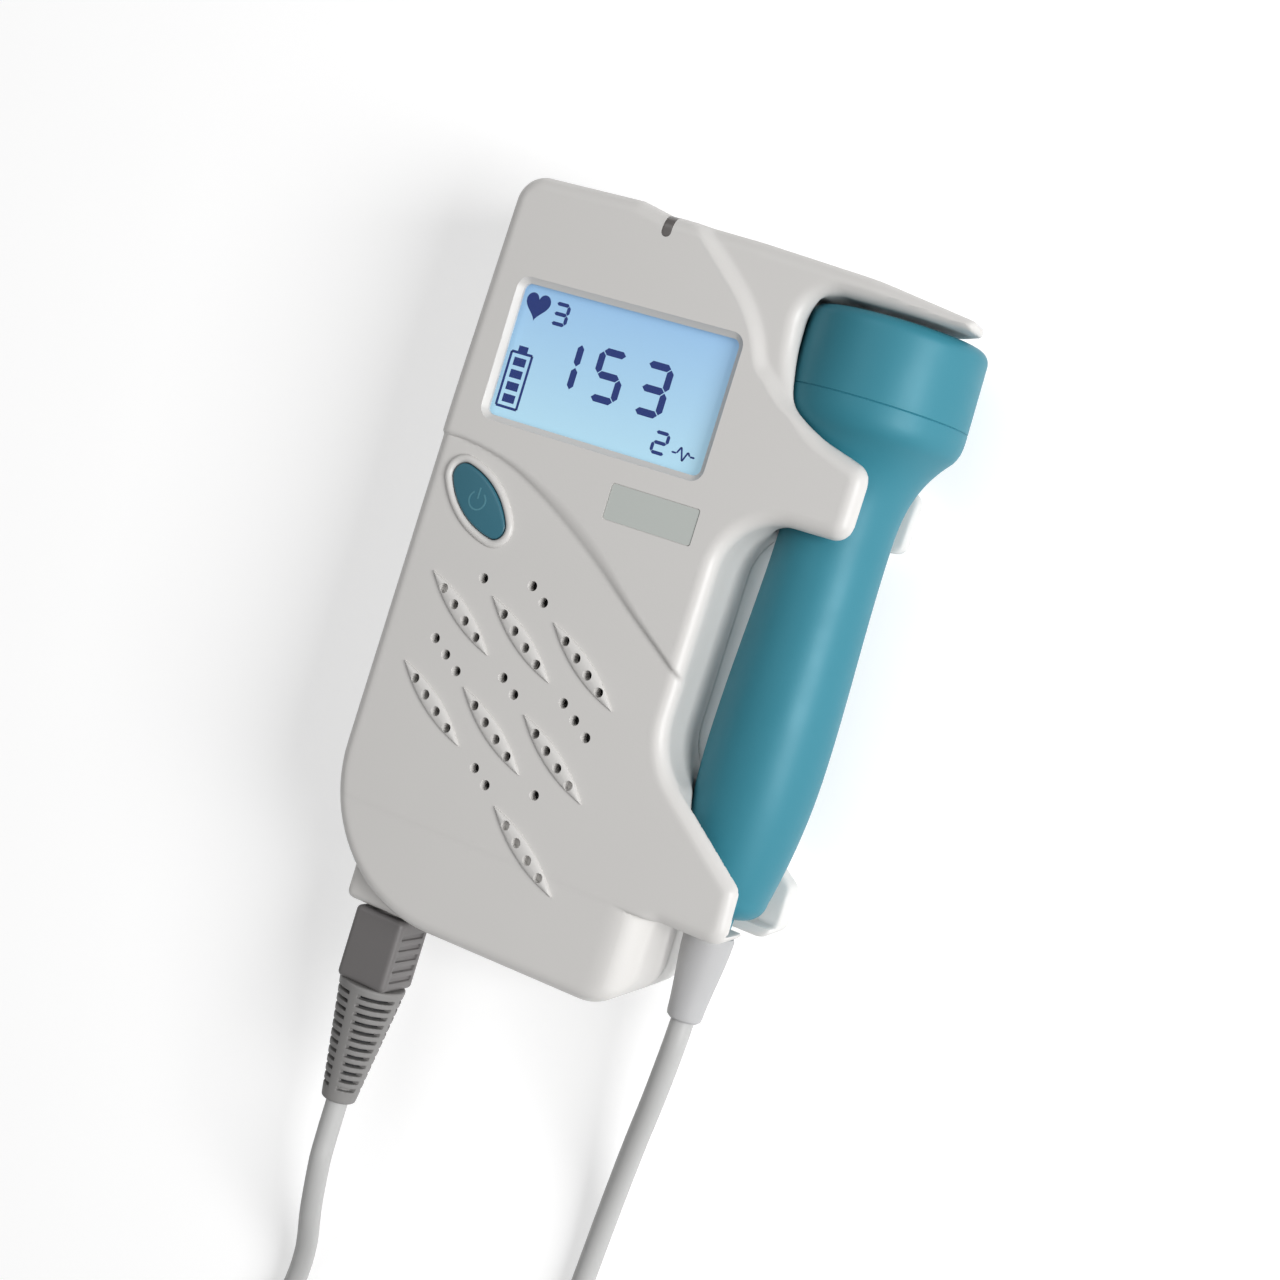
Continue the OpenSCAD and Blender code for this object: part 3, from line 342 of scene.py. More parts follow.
def revolved(name: str, profile: Sequence[tuple[float, float]], start: Sequence[float],
             sides: int = 96, crease: float = 35.0) -> bpy.types.Object:
    """A turned piece about an axis that runs from start along -Y.

    Args:
        name: Name of the piece.
        profile: Pairs of radius and distance along the axis, a closed loop that may touch it.
        start: The axis's first point.
        sides: Number of steps round.
        crease: Degrees from which an edge stays sharp.

    Returns:
        The new object.
    """
    points, rows = [], []
    for radius, distance in profile:
        n = 1 if radius < 1e-6 else sides
        rows.append([len(points) + k for k in range(n)])
        for k in range(n):
            a = 2 * math.pi * k / sides
            points.append([start[0] + radius * math.cos(a), start[1] - distance,
                           start[2] + radius * math.sin(a)])
    closed = profile[0][0] > 1e-6
    pairs = list(zip(rows, rows[1:])) + ([(rows[-1], rows[0])] if closed else [])
    faces = []
    for a, b in pairs:
        for k in range(sides):
            m = (k + 1) % sides
            loop = [a[k % len(a)], a[m % len(a)], b[m % len(b)], b[k % len(b)]]
            faces.append(list(dict.fromkeys(loop)))
    return new_piece(name, np.array(points), [f for f in faces if len(f) > 2], crease)


def tube(name: str, path: Array, radius: float, sides: int = 16) -> bpy.types.Object:
    """A round tube along a path, with level rings at its two ends."""
    count = len(path)
    points = []
    for i, here in enumerate(path):
        along = path[min(i + 1, count - 1)] - path[max(i - 1, 0)]
        if i in (0, count - 1):
            along = np.array([0, math.copysign(1, along[1]), 0])
        across = np.cross(along, [0, 0, 1])
        across /= np.linalg.norm(across)
        up = np.cross(across, along) / np.linalg.norm(along)
        for k in range(sides):
            a = 2 * math.pi * k / sides
            points.append(here + radius * (math.cos(a) * across + math.sin(a) * up))
    faces = [[i * sides + k, i * sides + (k + 1) % sides, (i + 1) * sides + (k + 1) % sides,
              (i + 1) * sides + k] for i in range(count - 1) for k in range(sides)]
    faces.append(list(range(sides))[::-1])
    faces.append([(count - 1) * sides + k for k in range(sides)])
    return new_piece(name, np.array(points), faces)


def stacked(name: str, rings: Sequence[Array], crease: float = 35.0) -> bpy.types.Object:
    """A closed piece through rings of equal length, from the lowest to the highest."""
    n = len(rings[0])
    faces = [[k * n + i, k * n + (i + 1) % n, (k + 1) * n + (i + 1) % n, (k + 1) * n + i]
             for k in range(len(rings) - 1) for i in range(n)]
    faces.append(list(range(n))[::-1])
    faces.append([(len(rings) - 1) * n + i for i in range(n)])
    return new_piece(name, np.concatenate(rings), faces, crease)


def level_ring(outline: Array, z: float) -> Array:
    """An outline as a ring of points at one height."""
    return np.column_stack([outline, np.full(len(outline), z)])


def prism(name: str, outline: Array, low: float, high: float) -> bpy.types.Object:
    """An outline raised from one height to another."""
    return stacked(name, [level_ring(outline, low), level_ring(outline, high)])


def circle(steps: int) -> Array:
    """Outline of a circle with a radius of 1."""
    turns = np.linspace(0, 2 * np.pi, steps, endpoint=False)
    return np.column_stack([np.cos(turns), np.sin(turns)])


def rectangle(width: float, height: float, radius: float, centre: Sequence[float] = (0, 0)) -> Array:
    """Outline of a rectangle with rounded corners, counter-clockwise."""
    x, y = width / 2, height / 2
    corners = [Corner(-x, y, radius), Corner(-x, -y, radius), Corner(x, -y, radius), Corner(x, y, radius)]
    return rounded_outline(corners, 15) + np.array(centre)


def joined(name: str, pieces: Sequence[bpy.types.Object]) -> bpy.types.Object:
    """One piece out of several."""
    bpy.ops.object.select_all(action="DESELECT")
    for piece in pieces:
        piece.select_set(True)
    bpy.context.view_layer.objects.active = pieces[0]
    bpy.ops.object.join()
    pieces[0].name = pieces[0].data.name = name
    return pieces[0]


def cut(piece: bpy.types.Object, tool: bpy.types.Object, crease: float = 35.0,
        operation: str = "DIFFERENCE") -> None:
    """Takes the tool's form out of a piece, or joins the two, and deletes the tool."""
    modifier = piece.modifiers.new("cut", "BOOLEAN")
    modifier.operation = operation
    modifier.solver = "MANIFOLD"
    modifier.object = tool
    graph = bpy.context.evaluated_depsgraph_get()
    mesh = bpy.data.meshes.new_from_object(piece.evaluated_get(graph))
    piece.modifiers.remove(modifier)
    old, piece.data = piece.data, mesh
    mesh.name = piece.name
    bpy.data.meshes.remove(old)
    bpy.data.objects.remove(tool)
    shade(piece, crease)


# ---------------------------------------------------------------- materials


class Effect(Enum):
    """The shader node groups that materials share."""

    GRAIN = "moulded_grain"
    TINT = "tone_variation"
    SMUDGE = "handled_sheen"


def link(source: bpy.types.NodeSocket, target: bpy.types.NodeSocket) -> None:
    """Joins two sockets of one node tree."""
    source.id_data.links.new(source, target)


def noise_group(effect: Effect, detail: float, inputs: dict[str, Optional[float]], output: str,
                kind: str) -> tuple[bpy.types.Node, bpy.types.Node, bpy.types.Node]:
    """A node group that starts from noise in the object's own space.

    Args:
        effect: The effect that the group makes.
        detail: Detail of the noise.
        inputs: Its inputs with their first values, or None for a colour. One is the noise's Scale.
        output: Name of its output.
        kind: Socket type of its output.

    Returns:
        The group's input, output and noise nodes.
    """
    tree = bpy.data.node_groups.new(effect.value, "ShaderNodeTree")
    for key, value in inputs.items():
        if value is None:
            tree.interface.new_socket(name=key, in_out="INPUT", socket_type="NodeSocketColor")
        else:
            made = tree.interface.new_socket(name=key, in_out="INPUT", socket_type="NodeSocketFloat")
            made.default_value = value
    tree.interface.new_socket(name=output, in_out="OUTPUT", socket_type=kind)
    source, result = tree.nodes.new("NodeGroupInput"), tree.nodes.new("NodeGroupOutput")
    noise, place = tree.nodes.new("ShaderNodeTexNoise"), tree.nodes.new("ShaderNodeTexCoord")
    noise.inputs["Detail"].default_value = detail
    link(place.outputs["Object"], noise.inputs["Vector"])
    link(source.outputs["Scale"], noise.inputs["Scale"])
    return source, result, noise


def color_mix(tree: bpy.types.NodeTree, factor: bpy.types.NodeSocket) -> bpy.types.Node:
    """A node that mixes two colours, its inputs 6 and 7, into its output 2."""
    mix = tree.nodes.new("ShaderNodeMix")
    mix.data_type = "RGBA"
    link(factor, mix.inputs["Factor"])
    return mix


def make_grain() -> bpy.types.NodeTree:
    """The fine spark-eroded grain of a mould, as a bumped normal."""
    inputs = {"Scale": 2500.0, "Depth": 0.1}
    source, result, noise = noise_group(Effect.GRAIN, 3, inputs, "Normal", "NodeSocketVector")
    bump = result.id_data.nodes.new("ShaderNodeBump")
    bump.inputs["Distance"].default_value = 0.0001
    link(noise.outputs["Fac"], bump.inputs["Height"])
    link(source.outputs["Depth"], bump.inputs["Strength"])
    link(bump.outputs["Normal"], result.inputs["Normal"])
    return result.id_data


def make_tint() -> bpy.types.NodeTree:
    """A slow drift of a colour between two tones."""
    inputs = {"Scale": 30.0, "Light": None, "Dark": None}
    source, result, noise = noise_group(Effect.TINT, 4, inputs, "Color", "NodeSocketColor")
    mix = color_mix(result.id_data, noise.outputs["Fac"])
    link(source.outputs["Light"], mix.inputs[6])
    link(source.outputs["Dark"], mix.inputs[7])
    link(mix.outputs[2], result.inputs["Color"])
    return result.id_data


def make_smudge() -> bpy.types.NodeTree:
    """Roughness that handling has made uneven."""
    inputs = {"Scale": 90.0, "Low": 0.35, "High": 0.45}
    source, result, noise = noise_group(Effect.SMUDGE, 5, inputs, "Roughness", "NodeSocketFloat")
    spread = result.id_data.nodes.new("ShaderNodeMapRange")
    spread.inputs["From Min"].default_value = 0.3
    spread.inputs["From Max"].default_value = 0.7
    link(noise.outputs["Fac"], spread.inputs["Value"])
    link(source.outputs["Low"], spread.inputs["To Min"])
    link(source.outputs["High"], spread.inputs["To Max"])
    link(spread.outputs["Result"], result.inputs["Roughness"])
    return result.id_data


MAKERS = {Effect.GRAIN: make_grain, Effect.TINT: make_tint, Effect.SMUDGE: make_smudge}
GROUPS: dict[Effect, bpy.types.NodeTree] = {}


def place_effect(tree: bpy.types.NodeTree, effect: Effect, **values: object) -> bpy.types.Node:
    """Puts a shared effect into a material, with its own values."""
    if effect not in GROUPS:
        GROUPS[effect] = MAKERS[effect]()
    node = tree.nodes.new("ShaderNodeGroup")
    node.node_tree = GROUPS[effect]
    for key, value in values.items():
        node.inputs[key].default_value = value
    return node


@dataclass(frozen=True)
class Finish:
    """A surface finish: its colour, gloss and grain."""

    name: str
    color: tuple[float, float, float]
    drift: float = 0.06
    roughness: float = 0.42
    uneven: float = 0.06
    metallic: float = 0.0
    grain: float = 0.12
    grain_scale: float = 2500.0
    coat: float = 0.0
    alpha: float = 1.0
    glow: float = 0.0
    specular: float = 0.5

    def shader(self, material: bpy.types.Material) -> bpy.types.Node:
        """The material's own shader node."""
        return material.node_tree.nodes["Principled BSDF"]

    def make(self) -> bpy.types.Material:
        """Builds the material, or finds it if it was built before.

        Its name has an ending, since the CAD model's own flat materials have some of these names.
        """
        name = f"{self.name}_finish"
        if name in bpy.data.materials:
            return bpy.data.materials[name]
        material = bpy.data.materials.new(name)
        material.use_nodes = True
        tree = material.node_tree
        shader = self.shader(material)
        light = (*[min(1, c * (1 + self.drift)) for c in self.color], 1)
        dark = (*[c * (1 - self.drift) for c in self.color], 1)
        tint = place_effect(tree, Effect.TINT, Light=light, Dark=dark)
        link(tint.outputs["Color"], shader.inputs["Base Color"])
        smudge = place_effect(tree, Effect.SMUDGE, Low=max(0.02, self.roughness - self.uneven),
                              High=min(1, self.roughness + self.uneven))
        link(smudge.outputs["Roughness"], shader.inputs["Roughness"])
        if self.grain:
            grain = place_effect(tree, Effect.GRAIN, Scale=self.grain_scale, Depth=self.grain)
            link(grain.outputs["Normal"], shader.inputs["Normal"])
        values = {"Metallic": self.metallic, "Coat Weight": self.coat, "Coat Roughness": 0.25,
                  "Specular IOR Level": self.specular}
        for socket, value in values.items():
            shader.inputs[socket].default_value = value
        if self.alpha < 1:
            shader.inputs["Alpha"].default_value = self.alpha
        if self.glow:
            link(tint.outputs["Color"], shader.inputs["Emission Color"])
            shader.inputs["Emission Strength"].default_value = self.glow
        return material


@dataclass(frozen=True)
class LitGlass(Finish):
    """The display's lit glass: light blue, paler towards its lower edge."""

    low_color: tuple[float, float, float] = (0.36, 0.56, 0.67)
    from_y: float = 0.0
    to_y: float = 1.0

    def make(self) -> bpy.types.Material:
        """Builds the plain finish and lays the slow change of colour over it."""
        material = Finish.make(self)
        tree, shader = material.node_tree, self.shader(material)
        place = tree.nodes.new("ShaderNodeTexCoord")
        split = tree.nodes.new("ShaderNodeSeparateXYZ")
        ramp = tree.nodes.new("ShaderNodeMapRange")
        ramp.inputs["From Min"].default_value = self.from_y
        ramp.inputs["From Max"].default_value = self.to_y
        link(place.outputs["Object"], split.inputs["Vector"])
        link(split.outputs["Y"], ramp.inputs["Value"])
        mix = color_mix(tree, ramp.outputs["Result"])
        mix.inputs[6].default_value = (*self.low_color, 1)
        mix.inputs[7].default_value = (*self.color, 1)
        for socket in ("Base Color", "Emission Color"):
            link(mix.outputs[2], shader.inputs[socket])
        return material


CASE = Finish("case_satin", (0.645, 0.632, 0.615), drift=0.012, roughness=0.46, grain=0.10, coat=0.12)
# The rear finish is the front's plastic made lighter: painted light, for the light from the floor that the
# rear walls catch.
CASE_BACK_PAINTED_LIGHT = Finish("case_back_painted_light", (0.72, 0.715, 0.70), drift=0.015, roughness=0.5, grain=0.12)
PLATE = Finish("label_blank", (0.50, 0.53, 0.505), drift=0.02, roughness=0.36, grain=0.05, coat=0.2)
TEAL = Finish("probe_teal", (0.034, 0.215, 0.285), drift=0.03, roughness=0.5, metallic=0.1, grain=0.06,
              coat=0.05, specular=0.35)
BUTTON_TEAL = Finish("button_teal", (0.035, 0.15, 0.205), drift=0.03, roughness=0.42, grain=0.08, coat=0.1)
MARK_TEAL = Finish("button_mark", (0.08, 0.24, 0.30), drift=0.02, roughness=0.45, grain=0.0)
SMOKE = Finish("indicator_smoke", (0.12, 0.11, 0.107), drift=0.1, roughness=0.25, grain=0.05, coat=0.4)
BOOT = Finish("boot_pale", (0.45, 0.45, 0.455), drift=0.03, roughness=0.55, grain=0.15)
SHEATH = Finish("cable_sheath", (0.47, 0.47, 0.465), drift=0.05, roughness=0.5, grain=0.12)
PLUG_DARK = Finish("plug_moulding", (0.150, 0.143, 0.142), drift=0.06, roughness=0.45, grain=0.2)
RELIEF = Finish("relief_rubber", (0.225, 0.220, 0.216), drift=0.06, roughness=0.55, grain=0.2)
LCD = LitGlass("lcd_lit", (0.25, 0.42, 0.62), drift=0.01, roughness=0.35, grain=0.0, glow=0.55, specular=0.1,
               from_y=float((ZERO[1] - 13) * MM), to_y=float((ZERO[1] + 13) * MM))
INK = Finish("lcd_segment", (0.010, 0.030, 0.21), drift=0.03, roughness=0.5, grain=0.0, specular=0.1)
WINDOW = Finish("window_clear", (0.30, 0.36, 0.42), drift=0.01, roughness=0.12, uneven=0.03, grain=0.0,
                alpha=0.05, specular=0.3)
LIGHT_GUIDE = Finish("light_guide", (0.80, 0.85, 0.88), roughness=0.3, grain=0.04)
BOARD = Finish("board_mask", (0.03, 0.16, 0.07), drift=0.12, roughness=0.35, coat=0.3)
# Black of the chips, and also of the painted shade in the plug relief's slots.
CHIP_AND_SLOT_SHADE = Finish("chip_black", (0.02, 0.02, 0.022), drift=0.1, roughness=0.5)
LED = Finish("led_clear", (0.55, 0.70, 0.30), roughness=0.2, grain=0.02, glow=0.3)
CLOTH = Finish("speaker_cloth", (0.010, 0.010, 0.010), drift=0.4, roughness=0.9, grain=0.8,
               grain_scale=1400.0)
CONE = Finish("speaker_cone", (0.04, 0.04, 0.04), drift=0.2, roughness=0.75, grain=0.5)
STEEL = Finish("screw_steel", (0.50, 0.50, 0.51), drift=0.06, roughness=0.32, metallic=1.0)
GOLD = Finish("contact_plating", (0.70, 0.55, 0.25), drift=0.08, roughness=0.28, metallic=1.0)
CELL = Finish("cell_wrap", (0.05, 0.07, 0.09), drift=0.15, roughness=0.3, metallic=0.3, coat=0.4)
CRYSTAL = Finish("crystal_ceramic", (0.45, 0.36, 0.17), drift=0.1, roughness=0.4)
BACKING = Finish("backing_cast", (0.03, 0.03, 0.03), drift=0.2, roughness=0.7)
FLOOR = Finish("floor_white", (0.72, 0.72, 0.72), drift=0.004, roughness=0.9, grain=0.02, glow=0.6,
               specular=0.1)

# Each CAD node's finish, for those that keep their own shape and for those that a piece stands for
NODE_FINISH: dict[str, Finish] = {
    "front_shell": CASE, "rear_shell": CASE_BACK_PAINTED_LIGHT, "battery_door": CASE_BACK_PAINTED_LIGHT, "volume_wheel": CASE_BACK_PAINTED_LIGHT,
    "case_screws": STEEL, "display_window": WINDOW, "lcd_module": LCD, "lcd_backlight": LIGHT_GUIDE,
    "circuit_board": BOARD, "board_chips": CHIP_AND_SLOT_SHADE, "status_led": LED, "indicator_lens": SMOKE,
    "label_plate": PLATE, "power_button": BUTTON_TEAL, "button_switch": CHIP_AND_SLOT_SHADE, "speaker_cloth": CLOTH,
    "speaker": CONE, "volume_pot": CHIP_AND_SLOT_SHADE, "earphone_jack": CHIP_AND_SLOT_SHADE, "probe_socket": CHIP_AND_SLOT_SHADE,
    "battery_cells": CELL, "battery_contacts": GOLD, "probe_head": TEAL, "probe_handle": TEAL,
    "transducer_disc": CRYSTAL, "transducer_backing": BACKING, "probe_board": BOARD, "probe_boot": BOOT,
    "plug_body": PLUG_DARK, "plug_contacts": GOLD, "plug_relief": RELIEF, "cable_probe_side": SHEATH,
    "cable_coil": SHEATH, "cable_plug_side": SHEATH}


def finish_piece(piece: bpy.types.Object, finish: Finish) -> None:
    """Gives a piece one finish all over."""
    piece.data.materials.clear()
    piece.data.materials.append(finish.make())


def node_body(node: str) -> str:
    """Name of the body that a CAD node belongs to."""
    return next(b for b, nodes in frame["record"]["behaviour"]["bodies"].items() if node in nodes)


def add_detail(piece: bpy.types.Object, node: str, finish: Finish) -> None:
    """Gives a piece its finish and lets it ride with a CAD node."""
    finish_piece(piece, finish)
    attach(piece, node_body(node))
    LOG.info("%s rides with %s: %d faces", piece.name, node, len(piece.data.polygons))


def stand_in(piece: bpy.types.Object, node: str) -> None:
    """Lets a piece stand for a CAD node, with the node's own finish."""
    add_detail(piece, node, NODE_FINISH[node])
    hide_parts(node)


# ---------------------------------------------------------------- probe


@dataclass
class Probe:
    """The ultrasound probe: a turned head and handle on an axis along Y."""

    x: float = 45.1
    z: float = 17.2
    face_y: float = 23.4
    length: float = 110.2
    head_r: float = 16.9
    head_draft: float = 0.5
    head_edge: float = 2.4
    head_length: float = 15.7
    cap_length: float = 14.9
    shoulder: float = 4.8
    shoulder_drop: float = 1.1
    neck_r: float = 10.1
    neck_at: float = 40.0
    grip_r: float = 11.1
    grip_at: float = 80.0
    tail_r: float = 8.4
    tail_round: float = 4.0
    nipple_r: float = 3.4
    wall: float = 2.2
    seam: float = 0.16
    boot_y: float = -90.8
    boot_length: float = 17.2
    boot_r: float = 4.75
    cable_r: float = 2.2

    def radius(self, distance: Array) -> Array:
        """Radius of the probe at distances from its face, its two rounded ends left out."""
        d = np.asarray(distance, float)
        flare_at, tail_at = self.head_length + self.shoulder, self.length - self.tail_round
        flare_r = self.head_r - self.shoulder_drop

        def share(low: float, high: float) -> Array:
            """How far each distance is on its way from low to high, from 0 to 1."""
            return np.clip((d - low) / (high - low), 0, 1)

        head = self.head_r - self.head_draft * (1 - d / self.head_length)
        round_shoulder = self.head_r - self.shoulder_drop * share(self.head_length, flare_at) ** 3
        flare = self.neck_r + (flare_r - self.neck_r) * (1 - share(flare_at, self.neck_at)) ** 3
        rise = (1 - np.cos(np.pi * share(self.neck_at, self.grip_at))) / 2
        grip = self.neck_r + (self.grip_r - self.neck_r) * rise
        tail = self.grip_r - (self.grip_r - self.tail_r) * share(self.grip_at, tail_at) ** 2
        return np.select([d < self.head_length, d < flare_at, d < self.neck_at, d < self.grip_at],
                         [head, round_shoulder, flare, grip], tail)

    def head_profile(self) -> list[tuple[float, float]]:
        """The cap's profile, from the middle of its face round to its hollow inside."""
        edge = self.head_edge
        turns = [math.radians(a) for a in range(0, 91, 10)]
        face_r = self.head_r - self.head_draft
        corner_r = float(self.radius(edge)) - edge
        outside = [(corner_r + edge * math.sin(a), edge - edge * math.cos(a)) for a in turns]
        rows = np.linspace(edge + 1, self.cap_length - 0.5, 8)
        outside += [(float(self.radius(d)), float(d)) for d in rows]
        rim = float(self.radius(self.cap_length))
        outside += [(rim, self.cap_length - self.seam), (rim - self.seam, self.cap_length)]
        bore = face_r - self.wall
        return [(0.0, 0.0), (face_r / 2, 0.0), *outside, (bore, self.cap_length), (bore, 1.4), (0.0, 1.4)]

    def handle_profile(self) -> list[tuple[float, float]]:
        """The handle's profile, from its bore round its outside to the nipple at its tail."""
        tail_at = self.length - self.tail_round
        rim = float(self.radius(self.cap_length))
        rows = np.linspace(self.cap_length + 0.4, tail_at, 110)
        outside = [(rim - self.seam, self.cap_length), (rim, self.cap_length + self.seam)]
        outside += [(float(self.radius(d)), float(d)) for d in rows]
        for a in range(10, 91, 10):
            s, c = math.sin(math.radians(a)), math.cos(math.radians(a))
            outside.append((self.tail_r - self.tail_round * (1 - c), tail_at + self.tail_round * s))
        inner, bore, nipple_end = self.head_r - 5, 6.6, self.face_y - self.boot_y
        return [(inner, self.cap_length), *outside, (self.nipple_r, self.length),
                (self.nipple_r, nipple_end), (self.cable_r, nipple_end), (self.cable_r, tail_at - 4),
                (bore, tail_at - 4), (bore, self.cap_length + 4), (inner, self.cap_length + 4)]

    def boot_profile(self) -> list[tuple[float, float]]:
        """The boot's profile: a soft bell that narrows to the cable."""
        end = self.cable_r + 0.4
        outside = [(self.boot_r - 0.8, 0.0), (self.boot_r - 0.25, 0.2), (self.boot_r, 0.8)]
        for t in np.linspace(0.1, 0.93, 14):
            radius = self.boot_r + (end + 0.7 - self.boot_r) * float(ease(t * 0.95))
            outside.append((radius, self.boot_length * float(t)))
        outside += [(end + 0.6, self.boot_length - 0.5), (end + 0.1, self.boot_length - 0.05)]
        return [(0.0, 0.0), *outside, (self.cable_r, self.boot_length), (0.0, self.boot_length)]

    def build(self) -> None:
        """Builds the head, handle and boot."""
        start = (self.x, self.face_y, self.z)
        stand_in(revolved("probe_cap", self.head_profile(), start, 128), "probe_head")
        stand_in(revolved("probe_grip", self.handle_profile(), start, 128), "probe_handle")
        boot = revolved("boot_bell", self.boot_profile(), (self.x, self.boot_y, self.z), 64)
        stand_in(boot, "probe_boot")


# ---------------------------------------------------------------- housing


# The grille's slanted lattice: places of its ribs, and of the hole groups between them with their
# numbers of holes. The holes of the last rib, and those of BLIND_HOLES by rib and number, end blind.
RIB_LATTICE = ((0, 0), (1, 0), (2, 0), (0, 1), (1, 1), (2, 1), (2, 2))
HOLE_GROUPS = ((0.17, -0.43, 1), (1.03, -0.5, 2), (-0.03, 0.47, 3), (1.03, 0.5, 2), (2.12, 0.54, 3),
               (1.04, 1.49, 2), (1.9, 1.42, 1))
BLIND_HOLES = ((0, 0), (5, 3))


@dataclass
class Housing:
    """The two moulded shells, with the display opening, cradle, fingers, grille and rims."""

    probe: Probe
    left: float = -32.4
    top: float = 32.4
    bottom: float = -109.0
    face_z: float = 33.5
    split_z: float = 15.5
    wall: float = 2.2
    front_round: float = 2.8
    back_round: float = 4.0
    draft: float = 0.5
    panel_step: float = 0.8
    shoulder_step: float = 1.2
    cradle_gap: float = 0.5
    arm_x: float = 62.4
    arm_under: float = 23.9
    finger_x: float = 52.7
    finger_w: float = 12.2
    upper_y: float = -3.2
    lower_y: float = -90.2
    web_x: float = 31.0
    lobe_x: float = 38.75
    plug_x: float = -18.1
    plug_z: float = 18.5
    socket_y: float = -110.2
    display: tuple[float, float] = (45.2, 25.2)
    window_recess: float = 1.5
    window_t: float = 1.0
    step: float = 0.45
    rib_first: tuple[float, float] = (-15.4, -49.6)
    rib_column: tuple[float, float] = (13.7, -0.9)
    rib_row: tuple[float, float] = (-0.3, -17.8)
    rib_angle: float = -35.6
    rib_size: tuple[float, float] = (20.0, 3.4)
    rib_height: float = 0.8
    rib_edge: float = 0.3
    hole_step: float = 3.86
    hole_r: float = 0.92
    button_at: tuple[float, float] = (-18.6, -28.7)
    button_angle: float = -38.0
    button_size: tuple[float, float] = (16.9, 7.9)
    button_tip: float = 2.5
    ring_w: float = 1.5
    ring_h: float = 0.7
    pill_x: float = 2.6
    pill_w: float = 2.0
    label_at: tuple[float, float] = (16.2, -21.4)
    label_size: tuple[float, float] = (18.2, 6.9)
    jack_at: tuple[float, float] = (10.0, 19.5)
    wheel_at: tuple[float, float] = (-8.0, 18.2)
    arm_slant: tuple[float, float] = (25.5, 14.9)
    maps: dict = field(default_factory=dict)

    @property
    def panel_z(self) -> float:
        """Height of the speaker panel."""
        return self.face_z - self.panel_step

    @property
    def roof_z(self) -> float:
        """Height of the inside of the face."""
        return self.panel_z - self.wall

    def corners(self, reach: float = 0.0, trim: float = 0.0) -> list[Corner]:
        """Corners of the outline; reach moves the finger tips out and trim shortens the arm."""
        tip, slope = 2.2, 0.15
        arm = self.arm_x - trim
        return [
            Corner(self.left + 2.4, self.top, 5.5), Corner(self.left + 1.2, self.top - 44, 60),
            Corner(self.left, self.bottom, 28), Corner(self.lobe_x, self.bottom + 0.5, 9),
            Corner(self.lobe_x - 0.2, self.lower_y, 2.4),
            Corner(self.finger_x + 0.9 + 0.7 * reach, self.lower_y, 3.5),
            Corner(self.finger_x + 0.3 + 0.8 * reach, self.lower_y + self.finger_w - 1.2, 3),
            Corner(self.web_x, self.lower_y + self.finger_w + 16, 14),
            Corner(self.web_x, self.upper_y - self.finger_w - 1, 11),
            Corner(self.finger_x + reach, self.upper_y - self.finger_w - 0.8, 3.2),
            Corner(self.finger_x + reach, self.upper_y, 3.4),
            Corner(self.web_x + 2.6, self.upper_y + 6.4, 19), Corner(self.web_x + 0.3, self.arm_under + 1, 6),
            Corner(arm, self.arm_under + trim / 30, 1), Corner(arm, self.arm_under + tip + trim * slope, 1.1),
            Corner(self.probe.x - 2, self.arm_under + tip + 19.3 * slope, 60), Corner(20, self.top - 1.9, 60),
            Corner(1.5, self.top - 1.3, 3), Corner(-4.5, self.top, 3)]

    def make_maps(self) -> None:
        """Samples the distances to the outlines and curves that the shells are shaped by."""
        low, high = (self.left - 3, self.socket_y - 3), (self.arm_x + 4, self.top + 3)
        far = 20
        panel = smooth_path([(self.left - far, -18.6), (self.left, -18.6), (-24, -18.8), (-15, -20.6),
                             (-7, -24), (1, -28.4), (9, -33.4), (18, -39.6), (self.web_x, -48.2),
                             (self.web_x + far, -63)], 6)
        panel = np.concatenate([panel, [(self.arm_x + far, self.top + far),
                                        (self.left - far, self.top + far)]])
        end_y = self.upper_y + 9
        ridge = smooth_path([(6.6, self.top + far), (7.2, self.top), (8.6, self.top - 3),
                             (15.2, self.top - 8.6), (20.6, self.top - 13.4), (24.2, self.top - 18),
                             (27, self.top - 23.4),
                             (29.6, end_y + 1), (34, end_y - 2.6), (40, end_y - 5)], 6)
        ridge = np.concatenate([ridge, [(self.arm_x + far, end_y - 8), (self.arm_x + far, self.top + far)]])
        room = rounded_outline([
            Corner(self.left + self.wall + 2.8, self.top - self.wall - 1.6, 4),
            Corner(self.left + self.wall + 0.5, self.bottom + self.wall + 2.5, 25),
            Corner(self.lobe_x - self.wall - 1.2, self.bottom + self.wall + 2.8, 5),
            Corner(self.lobe_x - self.wall - 1.2, self.lower_y + 4, 4),
            Corner(self.web_x - self.wall - 0.6, self.lower_y + 16, 6),
            Corner(self.web_x - self.wall - 0.6, self.probe.face_y - 36, 6),
            Corner(self.probe.x - self.probe.head_r - 2.7, self.probe.face_y - 24.7, 4),
            Corner(self.probe.x - self.probe.head_r - 2.7, self.top - self.wall - 2.8, 3)])
        plate_x, out_x = self.probe.x + 2, self.finger_x + 10
        upper, lower = self.upper_y - self.finger_w, self.lower_y + self.finger_w
        hollow_up = np.array([(plate_x, upper - 4), (out_x, upper - 4), (out_x, self.upper_y + 2),
                              (plate_x, self.upper_y + 2)])
        hollow_low = np.array([(self.web_x + 4, lower + 16), (self.web_x + 7, lower + 7),
                               (plate_x, lower - 3), (plate_x, self.lower_y + self.wall),
                               (out_x, self.lower_y + self.wall),
                               (out_x, lower + 16)])
